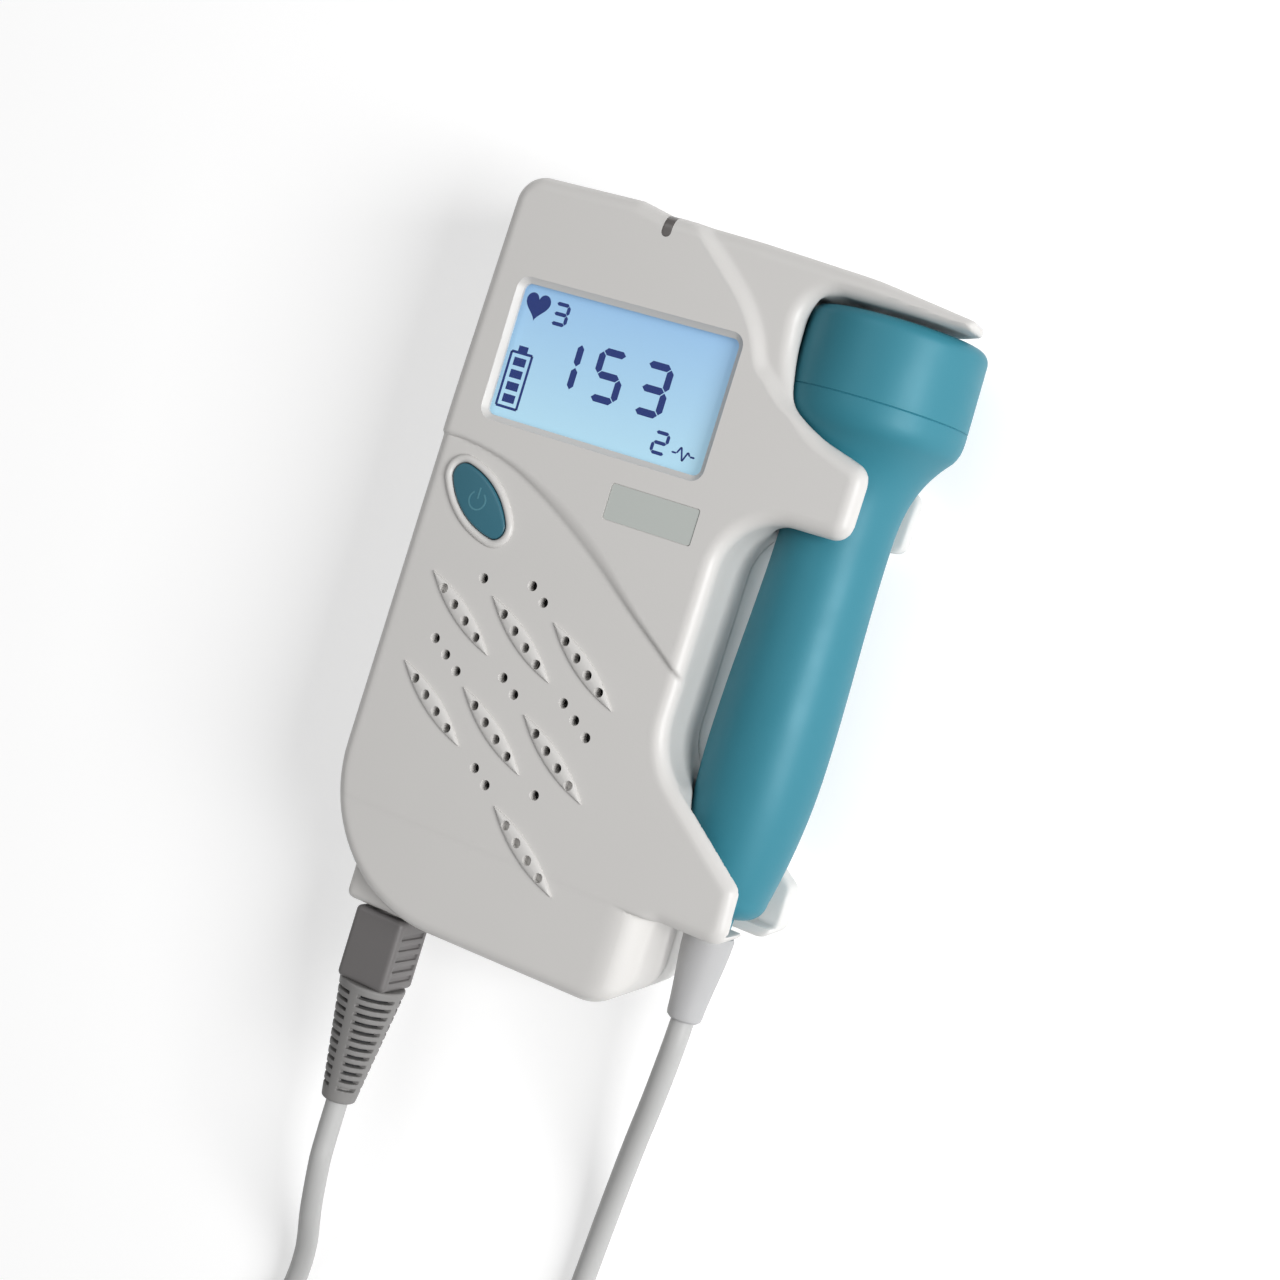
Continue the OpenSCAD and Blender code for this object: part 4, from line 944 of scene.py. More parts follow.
        outlines = {"front": rounded_outline(self.corners()), "rear": rounded_outline(self.corners(2.7, 4)),
                    "panel": panel, "ridge": ridge, "room": room, "hollow_up": hollow_up,
                    "hollow_low": hollow_low}
        self.maps = {name: DistanceMap(outline, low, high) for name, outline in outlines.items()}

    def rib_places(self) -> list[tuple[float, float]]:
        """Middles of the seven grille ribs."""
        return [self.lattice_place(*at) for at in RIB_LATTICE]

    def lattice_place(self, column: float, row: float) -> tuple[float, float]:
        """A place on the grille's slanted lattice."""
        return (self.rib_first[0] + column * self.rib_column[0] + row * self.rib_row[0],
                self.rib_first[1] + column * self.rib_column[1] + row * self.rib_row[1])

    def button_oval(self, x: Array, y: Array, margin: float = 0.0) -> Array:
        """Signed distance to the button's oval, widened by a margin."""
        a = math.radians(self.button_angle)
        c, s = math.cos(a), math.sin(a)
        dx, dy = x - self.button_at[0], y - self.button_at[1]
        return rounded_oval(dx * c + dy * s, dy * c - dx * s, *self.button_size, self.button_tip) - margin

    def face_height(self, x: Array, y: Array) -> Array:
        """Height of the face: its two panels, and the shoulder beyond the ridge."""
        above_panel = -self.maps["panel"](x, y)
        ramp = 0.7 + 2.0 * np.exp(-((x - 4) / 15) ** 2)
        rise = 1 - (1 - np.clip(above_panel / ramp, 0, 1)) ** 2
        height = self.face_z - self.panel_step * (1 - rise)
        beyond_ridge = -self.maps["ridge"](x, y)
        return height - self.shoulder_step * ease(beyond_ridge / 2.6 + 0.15) * rise

    def cradle(self, x: Array, y: Array, z: Array) -> Array:
        """Signed distance to the space that the probe lies in, open towards +X."""
        p, gap = self.probe, self.cradle_gap
        dx, dz = x - p.x, np.abs(z - p.z)
        reach = np.where(dx > 0, dz + 0 * dx, np.hypot(dx, dz))
        d = p.face_y - y
        clipped = np.clip(d, p.head_edge, p.length - p.tail_round)
        radius = p.radius(clipped)
        slope = (p.radius(clipped + 0.2) - radius) / 0.2
        side = (reach - radius - gap) / np.sqrt(1 + slope ** 2)
        ends = np.maximum(-gap - d, d - p.length - gap)
        slot = np.maximum(reach - p.nipple_r - 1, np.abs(y - (self.lower_y + 1)) - 8)
        return np.minimum(round_max(side, ends, 1.0), slot)

    def shared_cuts(self, body: Array, x: Array, y: Array, z: Array) -> Array:
        """Takes out of either shell what both lack: cradle, arm's slant, socket and side controls."""
        run, rise = self.arm_slant
        arm = ((x - self.arm_x + 14.5) * run - z * rise) / np.hypot(run, rise)
        at_arm = (z < self.face_z - 8) & (y > self.arm_under - 6)
        body = round_max(body, np.where(at_arm, arm, -9.0), 0.6)
        (jack_y, jack_z), (wheel_y, wheel_z) = self.jack_at, self.wheel_at
        socket = np.maximum(np.hypot(x - self.plug_x, z - self.plug_z) - 5.3, y - self.socket_y - 10.8)
        jack = np.maximum(np.hypot(y - jack_y, z - jack_z) - 3.1, x - self.left - 6.5)
        thumb = np.maximum(np.hypot(x - self.left + 9, y - wheel_y) - 12, np.abs(z - wheel_z) - 3.5)
        slot = box_distance(x, y, z, (self.left + 4, wheel_y, wheel_z), (5.5, 8.6, 1.9))
        tools = ((self.cradle(x, y, z), 0.9), (socket, 0.3), (jack, 0.4), (thumb, 0.8), (slot, 0.3))
        for tool, rim in tools:
            body = cut_away(body, tool, rim)
        return body

    def boss(self, x: Array, y: Array, z: Array) -> Array:
        """Signed distance to the boss round the socket."""
        return box_distance(x, y, z, (self.plug_x, self.socket_y + 10, 17.85), (8.5, 10, 6.85), 1.6)

    def front(self, x: Array, y: Array, z: Array) -> Array:
        """Signed distance to the front shell."""
        straight = self.face_z - self.front_round
        inset = self.draft * (straight - z) / (straight - self.split_z)
        side = self.maps["front"](x, y) + np.clip(inset, 0, 2 * self.draft)
        body = round_max(side, z - self.face_height(x, y), self.front_round)
        qx, qz = x - self.lobe_x - 0.6 + 9, z - self.panel_z - 0.3 + 9
        lobe = np.where((qx > 0) & (qz > 0), np.hypot(qx, qz), np.maximum(qx, qz)) - 9
        body = cut_away(body, np.maximum(-lobe, y - self.lower_y), 0.7)
        body = round_min(body, self.boss(x, y, z), 1.2)
        room = np.maximum(self.maps["room"](x, y), z - self.roof_z)
        body = cut_away(body, room, 0.2)
        for name in ("hollow_up", "hollow_low"):
            hollow = np.maximum(self.maps[name](x, y), np.maximum(self.probe.z - z, z - self.roof_z))
            body = cut_away(body, hollow, 0.5)
        body = self.shared_cuts(body, x, y, z)
        return round_max(body, self.split_z - z, 0.3)

    def rear(self, x: Array, y: Array, z: Array) -> Array:
        """Signed distance to the rear shell."""
        inset = self.draft * (1 + np.clip((self.split_z - z) / (self.split_z - self.back_round), 0, 1))
        side = self.maps["rear"](x, y) + inset
        body = round_max(side, -z, self.back_round)
        body = round_min(body, self.boss(x, y, z), 1.2)
        room = np.maximum(self.maps["room"](x, y) + 0.6, self.wall + 0.4 - z)
        body = cut_away(body, room, 0.2)
        body = self.shared_cuts(body, x, y, z)
        return round_max(body, z - self.split_z, 0.3)

    def display_cutter(self) -> bpy.types.Object:
        """The display's opening, which widens in a bevel at the face."""
        width, height = self.display
        levels = ((self.roof_z - 1, 0), (self.face_z - 0.9, 0), (self.face_z - 0.25, 0.9),
                  (self.face_z + 0.5, 1.5))
        rings = [level_ring(rectangle(width + 2 * w, height + 2 * w, 1.4 + w), z) for z, w in levels]
        return stacked("display_cutter", rings)

    def ledge_cutters(self) -> list[bpy.types.Object]:
        """The seats of the window and of the display module, cut from inside."""
        width, height = self.display
        window = self.face_z - self.window_recess
        seats = ((width + 3.2, height + 3.2, window), (width + 5.2, height + 8.2, window - self.window_t))
        return [prism(f"ledge_{i}", rectangle(w, h, 1.6), self.roof_z - 1, z)
                for i, (w, h, z) in enumerate(seats)]

    def hole_row(self, middle: Sequence[float], count: int) -> list[Array]:
        """Places of a row of sound holes, along the ribs' slant."""
        angle = math.radians(self.rib_angle)
        along = np.array([math.cos(angle), math.sin(angle)])
        return [np.array(middle) + along * (i - (count - 1) / 2) * self.hole_step for i in range(count)]

    def hole_cutters(self) -> bpy.types.Object:
        """The sound holes: four in each rib and small groups between the ribs."""
        last = len(RIB_LATTICE) - 1
        holes = [(place, self.panel_z + self.rib_height, rib == last or (rib, i) in BLIND_HOLES)
                 for rib, at in enumerate(self.rib_places()) for i, place in enumerate(self.hole_row(at, 4))]
        holes += [(place, self.panel_z, False) for column, row, count in HOLE_GROUPS
                  for place in self.hole_row(self.lattice_place(column, row), count)]
        return joined("hole_cutters", [self.hole_cutter(n, *hole) for n, hole in enumerate(holes)])

    def hole_cutter(self, number: int, place: Array, surface: float, blind: bool) -> bpy.types.Object:
        """One sound hole, with a softened lip."""
        floor = self.panel_z - 0.8 if blind else self.roof_z - 0.5
        levels = ((floor, 0.0), (surface - 0.15, 0.0), (surface - 0.04, 0.03), (surface + 0.02, 0.1),
                  (surface + 0.4, 0.5))
        rings = [level_ring(circle(28) * (self.hole_r + flare) + place, z) for z, flare in levels]
        return stacked(f"hole_{number}", rings)

    def turned(self, outline: Array, at: tuple[float, float], angle: float) -> Array:
        """An outline turned by some degrees and moved to its place."""
        c, s = math.cos(math.radians(angle)), math.sin(math.radians(angle))
        return outline @ np.array([[c, s], [-s, c]]) + np.array(at)

    def rib_pads(self) -> bpy.types.Object:
        """The seven raised ribs of the grille, softened along their upper edges."""
        half = self.rib_size[1] / 2
        levels = [(self.panel_z - 0.3, 0.0), (self.panel_z + self.rib_edge, 0.0)]
        for inset in (0.12, 0.35, 0.65, 1.0, 1.4):
            rise = math.sqrt(1 - (1 - inset / half) ** 2)
            levels.append((self.panel_z + self.rib_edge + (self.rib_height - self.rib_edge) * rise, inset))
        outlines = [traced_outline(lambda x, y: oval_distance(x, y, *self.rib_size) + inset)
                    for _, inset in levels]
        pads = []
        for number, at in enumerate(self.rib_places()):
            rings = [level_ring(self.turned(outline, at, self.rib_angle), z)
                     for outline, (z, _) in zip(outlines, levels)]
            pads.append(stacked(f"rib_{number}", rings, 50))
        return joined("rib_pads", pads)

    def button_ring(self) -> bpy.types.Object:
        """The raised ring round the button, with a rounded back."""
        def form(x: Array, y: Array, z: Array) -> Array:
            across = self.button_oval(x, y, self.ring_w / 2)
            return np.hypot(across, (z - self.panel_z) * self.ring_w / 2 / self.ring_h) - self.ring_w / 2
        x, y = self.button_at
        low, high = (x - 11, y - 9, self.panel_z - 0.6), (x + 11, y + 9, self.panel_z + 0.8)
        return skin("button_ring", form, low, high, 0.2)

    def build(self) -> None:
        """Builds both shells, the window, the label's place, the button's ring and opening, and the lens."""
        self.make_maps()
        low, high = (self.left, self.socket_y, self.split_z), (self.arm_x, self.top, self.face_z)
        front = skin("housing_front", self.front, low, high, self.step)
        cut(front, self.display_cutter())
        for ledge in self.ledge_cutters():
            cut(front, ledge)
        for raised in (self.rib_pads(), self.button_ring()):
            cut(front, raised, operation="UNION")
        cut(front, self.hole_cutters())
        oval = traced_outline(lambda x, y: rounded_oval(x, y, *self.button_size, self.button_tip))
        opening = self.turned(oval, self.button_at, self.button_angle)
        label = rectangle(*self.label_size, 0.5, self.label_at)
        pill = rectangle(self.pill_w, 8, 0.95, (self.pill_x, self.top - 1.6))
        for name, outline, foot, head in (("button_cutter", opening, self.roof_z - 1, self.face_z + 2),
                                          ("label_cutter", label, self.face_z - 0.3, self.face_z + 1),
                                          ("pill_cutter", pill, self.face_z - 5, self.face_z + 1)):
            cut(front, prism(name, outline, foot, head))
        stand_in(front, "front_shell")
        low, high = (self.left, self.socket_y, 0), (self.arm_x, self.top, self.split_z)
        rear = skin("housing_rear", self.rear, low, high, self.step)
        self.cut_back(rear)
        stand_in(rear, "rear_shell")
        self.build_lens()
        self.build_window()

    def cut_back(self, rear: bpy.types.Object) -> None:
        """Opens the rear shell for the battery door and the case screws."""
        low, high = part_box("battery_door")
        a, b = np.array(low) / MM - ZERO, np.array(high) / MM - ZERO
        tongue, fit, door_t, past = 1.2, 0.2, 2.0, 6.0
        x, width, head = (a[0] + b[0]) / 2, b[0] - a[0], b[1] + fit
        cuts = ((width - 2 * tongue + 2 * fit, a[1] - past, -1.0, door_t / 2 + 0.05),
                (width + 2 * fit, a[1] - past, door_t / 2, door_t + 0.1),
                (width + 2 * fit, self.bottom + self.wall + 4.2, door_t / 2, door_t + 1.5))
        for wide, foot, low_z, high_z in cuts:
            outline = rectangle(wide, head - foot, 0.1, (x, (head + foot) / 2))
            cut(rear, prism("door_cutter", outline, low_z, high_z))
        for at in ((self.left + 7.2, self.top - 7), (18, self.top - 6.5), (self.left + 7, self.bottom + 29),
                   (self.lobe_x - 8, self.bottom + 9)):
            levels = ((3.6, -0.5), (3.2, -0.1), (2.8, 0.3), (2.8, 4))
            cut(rear, stacked("screw_cutter", [level_ring(circle(40) * r + at, z) for r, z in levels]))

    def build_lens(self) -> None:
        """The indicator's smoked lens, flush with the face and the top edge."""
        def form(x: Array, y: Array, z: Array) -> Array:
            slot = box_distance(x, y, z, (self.pill_x, self.top - 1.6, self.face_z - 2),
                                (self.pill_w / 2 - 0.05, 3.95, 3), 0.0)
            ends = np.hypot(x - self.pill_x, np.maximum(0, self.top - 4.65 - y)) - self.pill_w / 2 + 0.05
            straight = self.face_z - self.front_round
            side = self.maps["front"](x, y) + np.clip(self.draft * (straight - z) / 15, 0, 1)
            body = round_max(side, z - self.face_height(x, y), self.front_round) + 0.06
            return round_max(np.maximum(body, ends), slot, 0.1)
        low = (self.pill_x - 1.2, self.top - 6, self.face_z - 5.2)
        lens = skin("indicator_pill", form, low, (self.pill_x + 1.2, self.top + 0.5, self.face_z + 0.3), 0.15)
        stand_in(lens, "indicator_lens")

    def build_window(self) -> None:
        """The clear window on its ledge, a hair above the lit glass."""
        width, height = self.display[0] + 3, self.display[1] + 3
        top = self.face_z - self.window_recess
        levels = ((top - self.window_t + 0.08, 0), (top - 0.1, 0), (top, 0.1))
        rings = [level_ring(rectangle(width - 2 * w, height - 2 * w, 1.5), z) for z, w in levels]
        stand_in(stacked("window_pane", rings), "display_window")


# ---------------------------------------------------------------- button and display marks


@dataclass
class PowerButton:
    """The domed button, a pointed oval with a raised power mark."""

    housing: Housing
    dome_r: float = 60.0
    top_z: float = 33.5
    gap: float = 0.15
    mark_r: float = 1.75
    line: float = 0.32

    def form(self, x: Array, y: Array, z: Array) -> Array:
        """Signed distance to the button."""
        h = self.housing
        side = h.button_oval(x, y, -self.gap)
        up = z - self.top_z + self.dome_r
        away = np.sqrt((x - h.button_at[0]) ** 2 + (y - h.button_at[1]) ** 2 + up ** 2)
        stem = round_max(side, away - self.dome_r, 0.45)
        flange = np.maximum(side - 1.1, z - h.roof_z + 0.1)
        return np.maximum(np.minimum(stem, flange), h.roof_z - 1.1 - z)

    def mark(self) -> bpy.types.Object:
        """The power mark: an open ring and a bar, standing a little out of the dome."""
        strips = []
        turns = np.radians(np.linspace(90 + 38, 90 + 322, 40))
        ring = np.column_stack([np.cos(turns), np.sin(turns)])
        strips.append((ring * (self.mark_r - self.line / 2), ring * (self.mark_r + self.line / 2)))
        bar = np.array([[0, 0.3], [0, self.mark_r + 0.7]])
        strips.append((bar + [self.line / 2, 0], bar - [self.line / 2, 0]))
        points, faces = [], []
        for inner, outer in strips:
            for a, b in zip(inner, outer):
                points += [self.on_dome(at, rise) for at, rise in ((a, 0.0), (b, 0.0), (b, 0.05), (a, 0.05))]
            start = len(points) - 4 * len(inner)
            for k in range(len(inner) - 1):
                a, b = start + 4 * k, start + 4 * (k + 1)
                faces += [[a + i, a + (i + 1) % 4, b + (i + 1) % 4, b + i] for i in range(4)]
            end = start + 4 * (len(inner) - 1)
            faces += [[start + 3, start + 2, start + 1, start], [end + i for i in range(4)]]
        return new_piece("power_mark", np.array(points), faces)

    def on_dome(self, at: Array, rise: float) -> list[float]:
        """A place on the button's dome, lifted by rise."""
        away = float(at[0] ** 2 + at[1] ** 2)
        z = self.top_z - self.dome_r + math.sqrt(self.dome_r ** 2 - away) + rise
        return [self.housing.button_at[0] + at[0], self.housing.button_at[1] + at[1], z]

    def build(self) -> None:
        """Builds the button and its mark."""
        h = self.housing
        x, y = h.button_at
        low, high = (x - 8.5, y - 8, h.roof_z - 1.2), (x + 8.5, y + 8, self.top_z)
        stand_in(skin("button_cap", self.form, low, high, 0.2), "power_button")
        add_detail(self.mark(), "power_button", MARK_TEAL)


class Segment(Enum):
    """The seven bars of a digit: their ends, in widths and half heights."""

    A = ((0, 2), (1, 2))
    B = ((1, 1), (1, 2))
    C = ((1, 0), (1, 1))
    D = ((0, 0), (1, 0))
    E = ((0, 0), (0, 1))
    F = ((0, 1), (0, 2))
    G = ((0, 1), (1, 1))


DIGITS = {"1": "BC", "2": "ABGED", "3": "ABGCD", "5": "AFGCD"}


@dataclass
class Display:
    """What the lit glass shows: two numbers, a pulse count, a heart, a cell and a wave."""

    housing: Housing
    thickness: float = 0.03

    @property
    def glass_z(self) -> float:
        """Height of the lit glass."""
        return self.housing.face_z - self.housing.window_recess - self.housing.window_t

    def bar(self, a: Sequence[float], b: Sequence[float], width: float) -> list[list[float]]:
        """A bar from a to b whose ends are cut to a point, as a list of corners."""
        a, b = np.array(a, float), np.array(b, float)
        u = (b - a) / np.linalg.norm(b - a)
        v = np.array([-u[1], u[0]]) * width / 2
        tip = u * width / 2
        return [list(p) for p in (a, a + tip - v, b - tip - v, b, b - tip + v, a + tip + v)]

    def digit(self, number: str, at: tuple[float, float], height: float, width: float,
              line: float) -> list[list[list[float]]]:
        """The bars of one digit with its lower left corner at a place."""
        gap = line * 0.10
        shapes = []
        for letter in DIGITS[number]:
            a, b = np.array(Segment[letter].value) * (width, height / 2)
            u = (b - a) / np.linalg.norm(b - a)
            shape = self.bar(a + u * gap, b - u * gap, line)
            shapes.append([[at[0] + x, at[1] + y] for x, y in shape])
        return shapes

    def heart(self, at: tuple[float, float], size: float) -> list[list[float]]:
        """Outline of a heart, round a place."""
        t = np.linspace(0, 2 * np.pi, 48, endpoint=False)
        x = 16 * np.sin(t) ** 3
        y = 13 * np.cos(t) - 5 * np.cos(2 * t) - 2 * np.cos(3 * t) - np.cos(4 * t)
        return [[at[0] - a * size / 32, at[1] + b * size / 29] for a, b in zip(x, y)]

    def battery(self, at: tuple[float, float], width: float, height: float) -> list[list[list[float]]]:
        """A cell's outline with its cap and four charge bars."""
        x, y, line = at[0], at[1], 0.5
        w, h = width / 2, height / 2
        boxes = [(x, y + h, width, line), (x, y - h, width, line), (x - w, y, line, height),
                 (x + w, y, line, height), (x, y + h + 0.8, width * 0.45, 1.1)]
        boxes += [(x, y + (k - 1.5) * height * 0.225, width - 1.9, height * 0.15) for k in range(4)]
        corners = ((-1, -1), (1, -1), (1, 1), (-1, 1))
        return [[[cx + u * sx / 2, cy + v * sy / 2] for u, v in corners] for cx, cy, sx, sy in boxes]

    def wave(self, at: tuple[float, float], width: float, height: float) -> list[list[list[float]]]:
        """A pulse wave, drawn with short bars."""
        steps = ((0, 0), (0.22, 0), (0.36, 0.55), (0.52, -0.5), (0.68, 0.3), (0.78, 0), (1, 0))
        places = [(at[0] + u * width, at[1] + v * height) for u, v in steps]
        return [self.bar(a, b, 0.34) for a, b in zip(places, places[1:])]

    def shapes(self) -> list[list[list[float]]]:
        """Every mark on the glass."""
        marks = []
        for i, number in enumerate("153"):
            marks += self.digit(number, (-13.1 + 9.45 * i, -4.25), 8.7, 4.8, 1.35)
        marks += self.digit("3", (-15.9, 6.8), 3.7, 2.8, 0.7)
        marks += self.digit("2", (11.3, -10.6), 3.7, 2.7, 0.65)
        marks += self.battery((-19.9, -5.4), 4.5, 10.4)
        marks.append(self.heart((-19.7, 9.2), 5.2))
        marks += self.wave((15.3, -9.6), 4.8, 2.4)
        return marks

    def build(self) -> None:
        """Builds the marks as thin raised shapes on the glass."""
        points, faces = [], []
        for shape in self.shapes():
            n, start = len(shape), len(points)
            for z in (self.glass_z, self.glass_z + self.thickness):
                points += [[x, y, z] for x, y in shape]
            faces.append([start + n + i for i in range(n)])
            faces.append([start + i for i in range(n)][::-1])
            faces += [[start + i, start + (i + 1) % n, start + n + (i + 1) % n, start + n + i]
                      for i in range(n)]
        add_detail(new_piece("display_marks", np.array(points), faces), "lcd_module", INK)


# ---------------------------------------------------------------- plug and cable


@dataclass
class Plug:
    """The square plug with its grip grooves and round nose, and the slotted relief behind it."""

    housing: Housing
    width: float = 11.2
    length: float = 15.2
    nose_r: float = 4.0
    nose_length: float = 9.0
    gap: float = 0.5
    relief_top: float = 6.7
    relief_end: float = 3.4
    relief_length: float = 24.5
    slots: int = 12
    slot_h: float = 0.36
    slot_depth: float = 1.5
    spine: float = 0.95
    bore: float = 2.3
    cable_clear: float = 2.7
    slot_shade_bore: float = 2.4
    slot_shade_end: float = 2.6

    def form(self, x: Array, y: Array, z: Array) -> Array:
        """Signed distance to the plug's moulding."""
        h = self.housing
        middle = h.socket_y - (self.length + self.gap) / 2
        half = (self.width / 2, (self.length - self.gap) / 2, self.width / 2)
        body = box_distance(x, y, z, (h.plug_x, middle, h.plug_z), half, 1.1)
        for k in range(5):
            at = h.socket_y - 3.85 - 2.2 * k
            for side in (-1, 1):
                groove = box_distance(x, y, z, (h.plug_x + side * self.width / 2, at, h.plug_z),
                                      (0.55, 0.5, self.width / 2 - 1.6), 0.2)
                body = cut_away(body, groove, 0.25)
        away = np.hypot(x - h.plug_x, z - h.plug_z)
        nose = np.maximum(away - self.nose_r, np.maximum(3.2 - away, y - h.socket_y - self.nose_length))
        return np.minimum(body, np.maximum(nose, h.socket_y - 2 - y))

    def build(self) -> None:
        """Builds the moulding, the relief's sleeve, and a black tube inside it that paints shade into its
        slots.
        """
        h = self.housing
        low = (h.plug_x - self.width / 2, h.socket_y - self.length, h.plug_z - self.width / 2)
        high = (h.plug_x + self.width / 2, h.socket_y + self.nose_length, h.plug_z + self.width / 2)
        stand_in(skin("plug_moulding", self.form, low, high, 0.25), "plug_body")
        end = h.socket_y - self.length
        wide = self.relief_top
        low = (h.plug_x - wide, end - self.relief_length, h.plug_z - wide)
        sleeve = skin("relief_sleeve", self.relief, low, (h.plug_x + wide, end, h.plug_z + wide), 0.22)
        stand_in(sleeve, "plug_relief")
        # Painted shade: a black tube whose surface lies at the slots' floors, so that the slots show dark.
        inner, foot = self.slot_shade_bore, self.relief_length - 3.0
        profile = [(inner, 0.3), (wide - self.slot_depth + 0.1, 0.3), (self.slot_shade_end, foot), (inner, foot)]
        add_detail(revolved("relief_core", profile, (h.plug_x, end, h.plug_z), 48), "plug_relief", CHIP_AND_SLOT_SHADE)

    def relief(self, x: Array, y: Array, z: Array) -> Array:
        """Signed distance to the tapered sleeve with its rows of slots between four spines."""
        h = self.housing
        along = h.socket_y - self.length - y
        u, w = np.abs(x - h.plug_x), np.abs(z - h.plug_z)
        away = np.hypot(u, w)
        taper = np.clip(along / self.relief_length, 0, 1)
        radius = self.relief_top + (self.relief_end - self.relief_top) * taper
        body = round_max((away - radius) * 0.99, np.maximum(-along, along - self.relief_length), 0.5)
        pitch = (self.relief_length - 3.4) / self.slots
        number = np.clip(np.round((along - 2.0) / pitch), 0, self.slots - 1)
        depth = np.minimum(self.slot_depth, radius - self.cable_clear)
        level = np.abs(along - 2.0 - number * pitch) - self.slot_h
        slot = np.maximum(np.maximum(level, radius - depth - away), self.spine - np.minimum(u, w))
        body = cut_away(body, slot, 0.12)
        return np.maximum(body, self.bore - away)


@dataclass
class Cable:
    """The probe's cable: a free stretch to a coil out of view, and the stretch to the plug.

    The routes repeat the CAD model's own points, in metres.
    """

    radius: float = 0.0022
    probe_route: tuple = (
        (0.0451, -0.1081, 0.0172), (0.0449, -0.1140, 0.0172), (0.0436, -0.1240, 0.0151),
        (0.0411, -0.1360, 0.0106), (0.0385, -0.1490, 0.0054), (0.0369, -0.1620, 0.0027),
        (0.0361, -0.1770, 0.00225), (0.0361, -0.1970, 0.00225), (0.0361, -0.2180, 0.00225))
    plug_route: tuple = (
        (-0.0279, -0.2180, 0.00725), (-0.0279, -0.2130, 0.00635), (-0.0257, -0.2049, 0.0038),
        (-0.0237, -0.1959, 0.0032), (-0.0215, -0.1859, 0.0068), (-0.0195, -0.1749, 0.0134),
        (-0.0181, -0.1639, 0.0181), (-0.0181, -0.1579, 0.0185), (-0.0181, -0.1483, 0.0185))
    coil_at: tuple[float, float] = (0.0041, -0.2230)
    coil_r: float = 0.032
    pitch: float = 0.005
    turns: float = 6.5
    lay_z: float = 0.00225
    lead: float = 0.005

    def coil_point(self, t: float) -> tuple[float, float, float]:
        """A point of the coil after t turns: in on the table, up a layer, and out again on top."""
        half = self.turns / 2
        radius = self.coil_r - self.pitch * (t if t < half else self.turns - t)
        climb = min(1.0, max(0.0, (t - half + 0.25) * 2))
        height = self.lay_z + self.pitch * (1 - math.cos(math.pi * climb)) / 2
        a = -2 * math.pi * t
        return (self.coil_at[0] + radius * math.cos(a), self.coil_at[1] + radius * math.sin(a), height)

    def coil_route(self) -> list[tuple[float, float, float]]:
        """The coil's points, with its two straight ends."""
        rings = 32
        points = [self.coil_point(k / rings) for k in range(int(self.turns * rings) + 1)]
        first, last = points[0], points[-1]
        return [(first[0], first[1] + self.lead, first[2]), *points, (last[0], last[1] + self.lead, last[2])]

    def length(self, path: Array) -> float:
        """Length of a path."""
        return float(np.linalg.norm(np.diff(path, axis=0), axis=1).sum())

    def build(self) -> None:
        front = smooth_path(self.probe_route, 8)
        rest = np.concatenate([np.array(self.coil_route())[:-1], smooth_path(self.plug_route, 8)])
        for name, path, nodes in (("probe_cable", front, ("cable_probe_side",)),
                                  ("coiled_cable", rest, ("cable_coil", "cable_plug_side"))):
            piece = tube(name, path / MM, self.radius / MM)
            finish_piece(piece, SHEATH)
            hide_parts(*nodes)
            LOG.info("%s: %.3f m", name, self.length(path))
        sheath, coil = (bpy.data.objects[n] for n in ("probe_cable", "coiled_cable"))
        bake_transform(sheath)
        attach(coil, "housing")
        self.length(front)
        self.length(rest)


# ---------------------------------------------------------------- studio


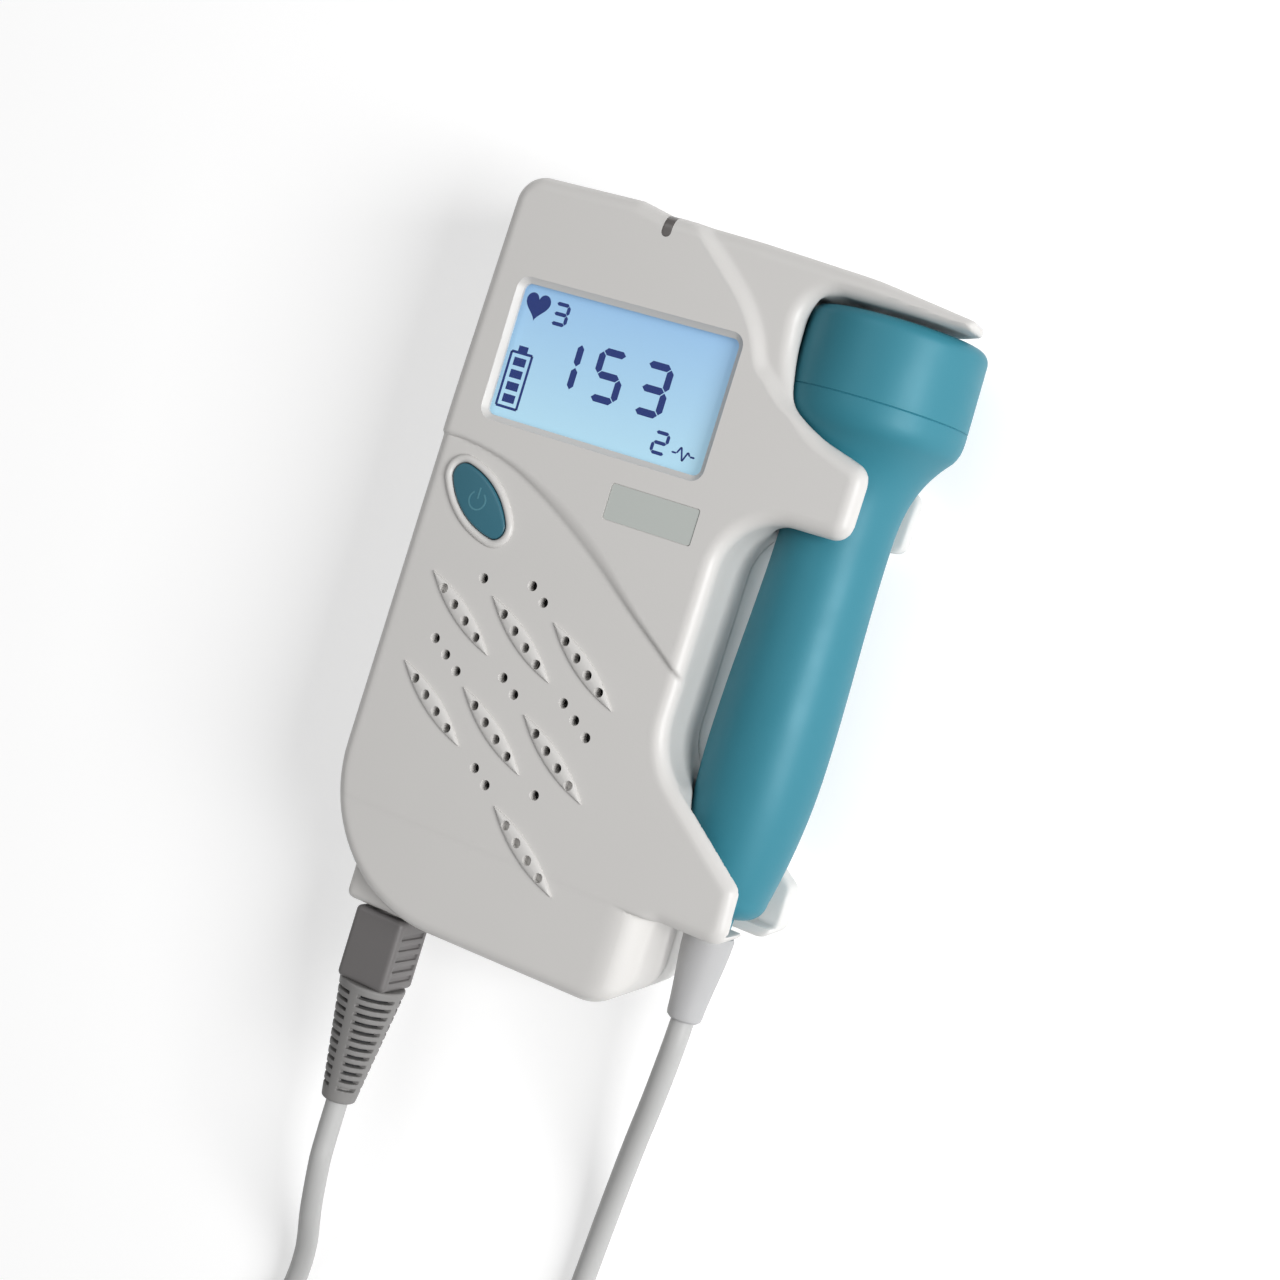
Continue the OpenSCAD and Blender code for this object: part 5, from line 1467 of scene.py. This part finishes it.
@dataclass
class Studio:
    """The floor, the lights and the camera."""

    yaw: float = 24.106
    pitch: float = 4.362
    roll: float = 17.276
    eye: tuple[float, float, float] = (166.785, -16.173, 358.126)
    lens: float = 56.25
    sensor: float = 36.0

    def camera(self) -> None:
        """Puts the camera where the photograph was taken from."""
        data = bpy.data.cameras.new("camera")
        data.lens, data.sensor_width = self.lens, self.sensor
        data.clip_start, data.clip_end = 0.01, 20
        camera = bpy.data.objects.new("camera", data)
        bpy.context.scene.collection.objects.link(camera)
        roll, pitch, yaw = (Matrix.Rotation(math.radians(angle), 3, axis)
                            for angle, axis in ((-self.roll, "Z"), (self.pitch, "X"), (-self.yaw, "Y")))
        turn = roll @ pitch @ yaw
        camera.matrix_world = Matrix.Translation(Vector(to_frame(self.eye))) @ turn.transposed().to_4x4()
        bpy.context.scene.camera = camera

    def floor(self) -> None:
        """A wide pale floor under the object."""
        half, z = 3000, -0.05
        points = np.array([(-half, -half, z), (half, -half, z), (half, half, z), (-half, half, z)])
        floor = new_piece("floor", points, [[0, 1, 2, 3]])
        finish_piece(floor, FLOOR)

    def lamp(self, name: str, at: Sequence[float], size: float, power: float) -> None:
        """A square soft box that points at the middle of the object."""
        data = bpy.data.lights.new(name, "AREA")
        data.size, data.energy = size, power
        lamp = bpy.data.objects.new(name, data)
        bpy.context.scene.collection.objects.link(lamp)
        lamp.location = Vector(at)
        aim = Vector((0.01, 0.0, 0.015)) - Vector(at)
        lamp.rotation_mode = "QUATERNION"
        lamp.rotation_quaternion = aim.to_track_quat("-Z", "Y")

    def build(self) -> None:
        """Builds the studio."""
        bpy.context.scene.view_settings.view_transform = "Standard"
        self.camera()
        self.floor()
        self.lamp("key_box", (0.98, 0.05, 0.66), 0.55, 12.5)
        self.lamp("top_box", (-0.15, 0.55, 1.1), 0.9, 3.2)
        world = bpy.data.worlds.new("studio_air")
        world.use_nodes = True
        background = world.node_tree.nodes["Background"]
        background.inputs["Color"].default_value = (1, 1, 1, 1)
        background.inputs["Strength"].default_value = 0.24
        bpy.context.scene.world = world


def dress_nodes() -> None:
    """Gives every CAD node its finish."""
    for name, node in frame["nodes"].items():
        finish_piece(node, NODE_FINISH[name])


def main() -> None:
    """Builds every piece in order."""
    logging.basicConfig(level=logging.INFO, format="%(message)s")
    Studio().build()
    dress_nodes()
    probe = Probe()
    housing = Housing(probe)
    for part in (housing, PowerButton(housing), Display(housing), probe, Plug(housing), Cable()):
        part.build()


if __name__ == "__main__":
    main()
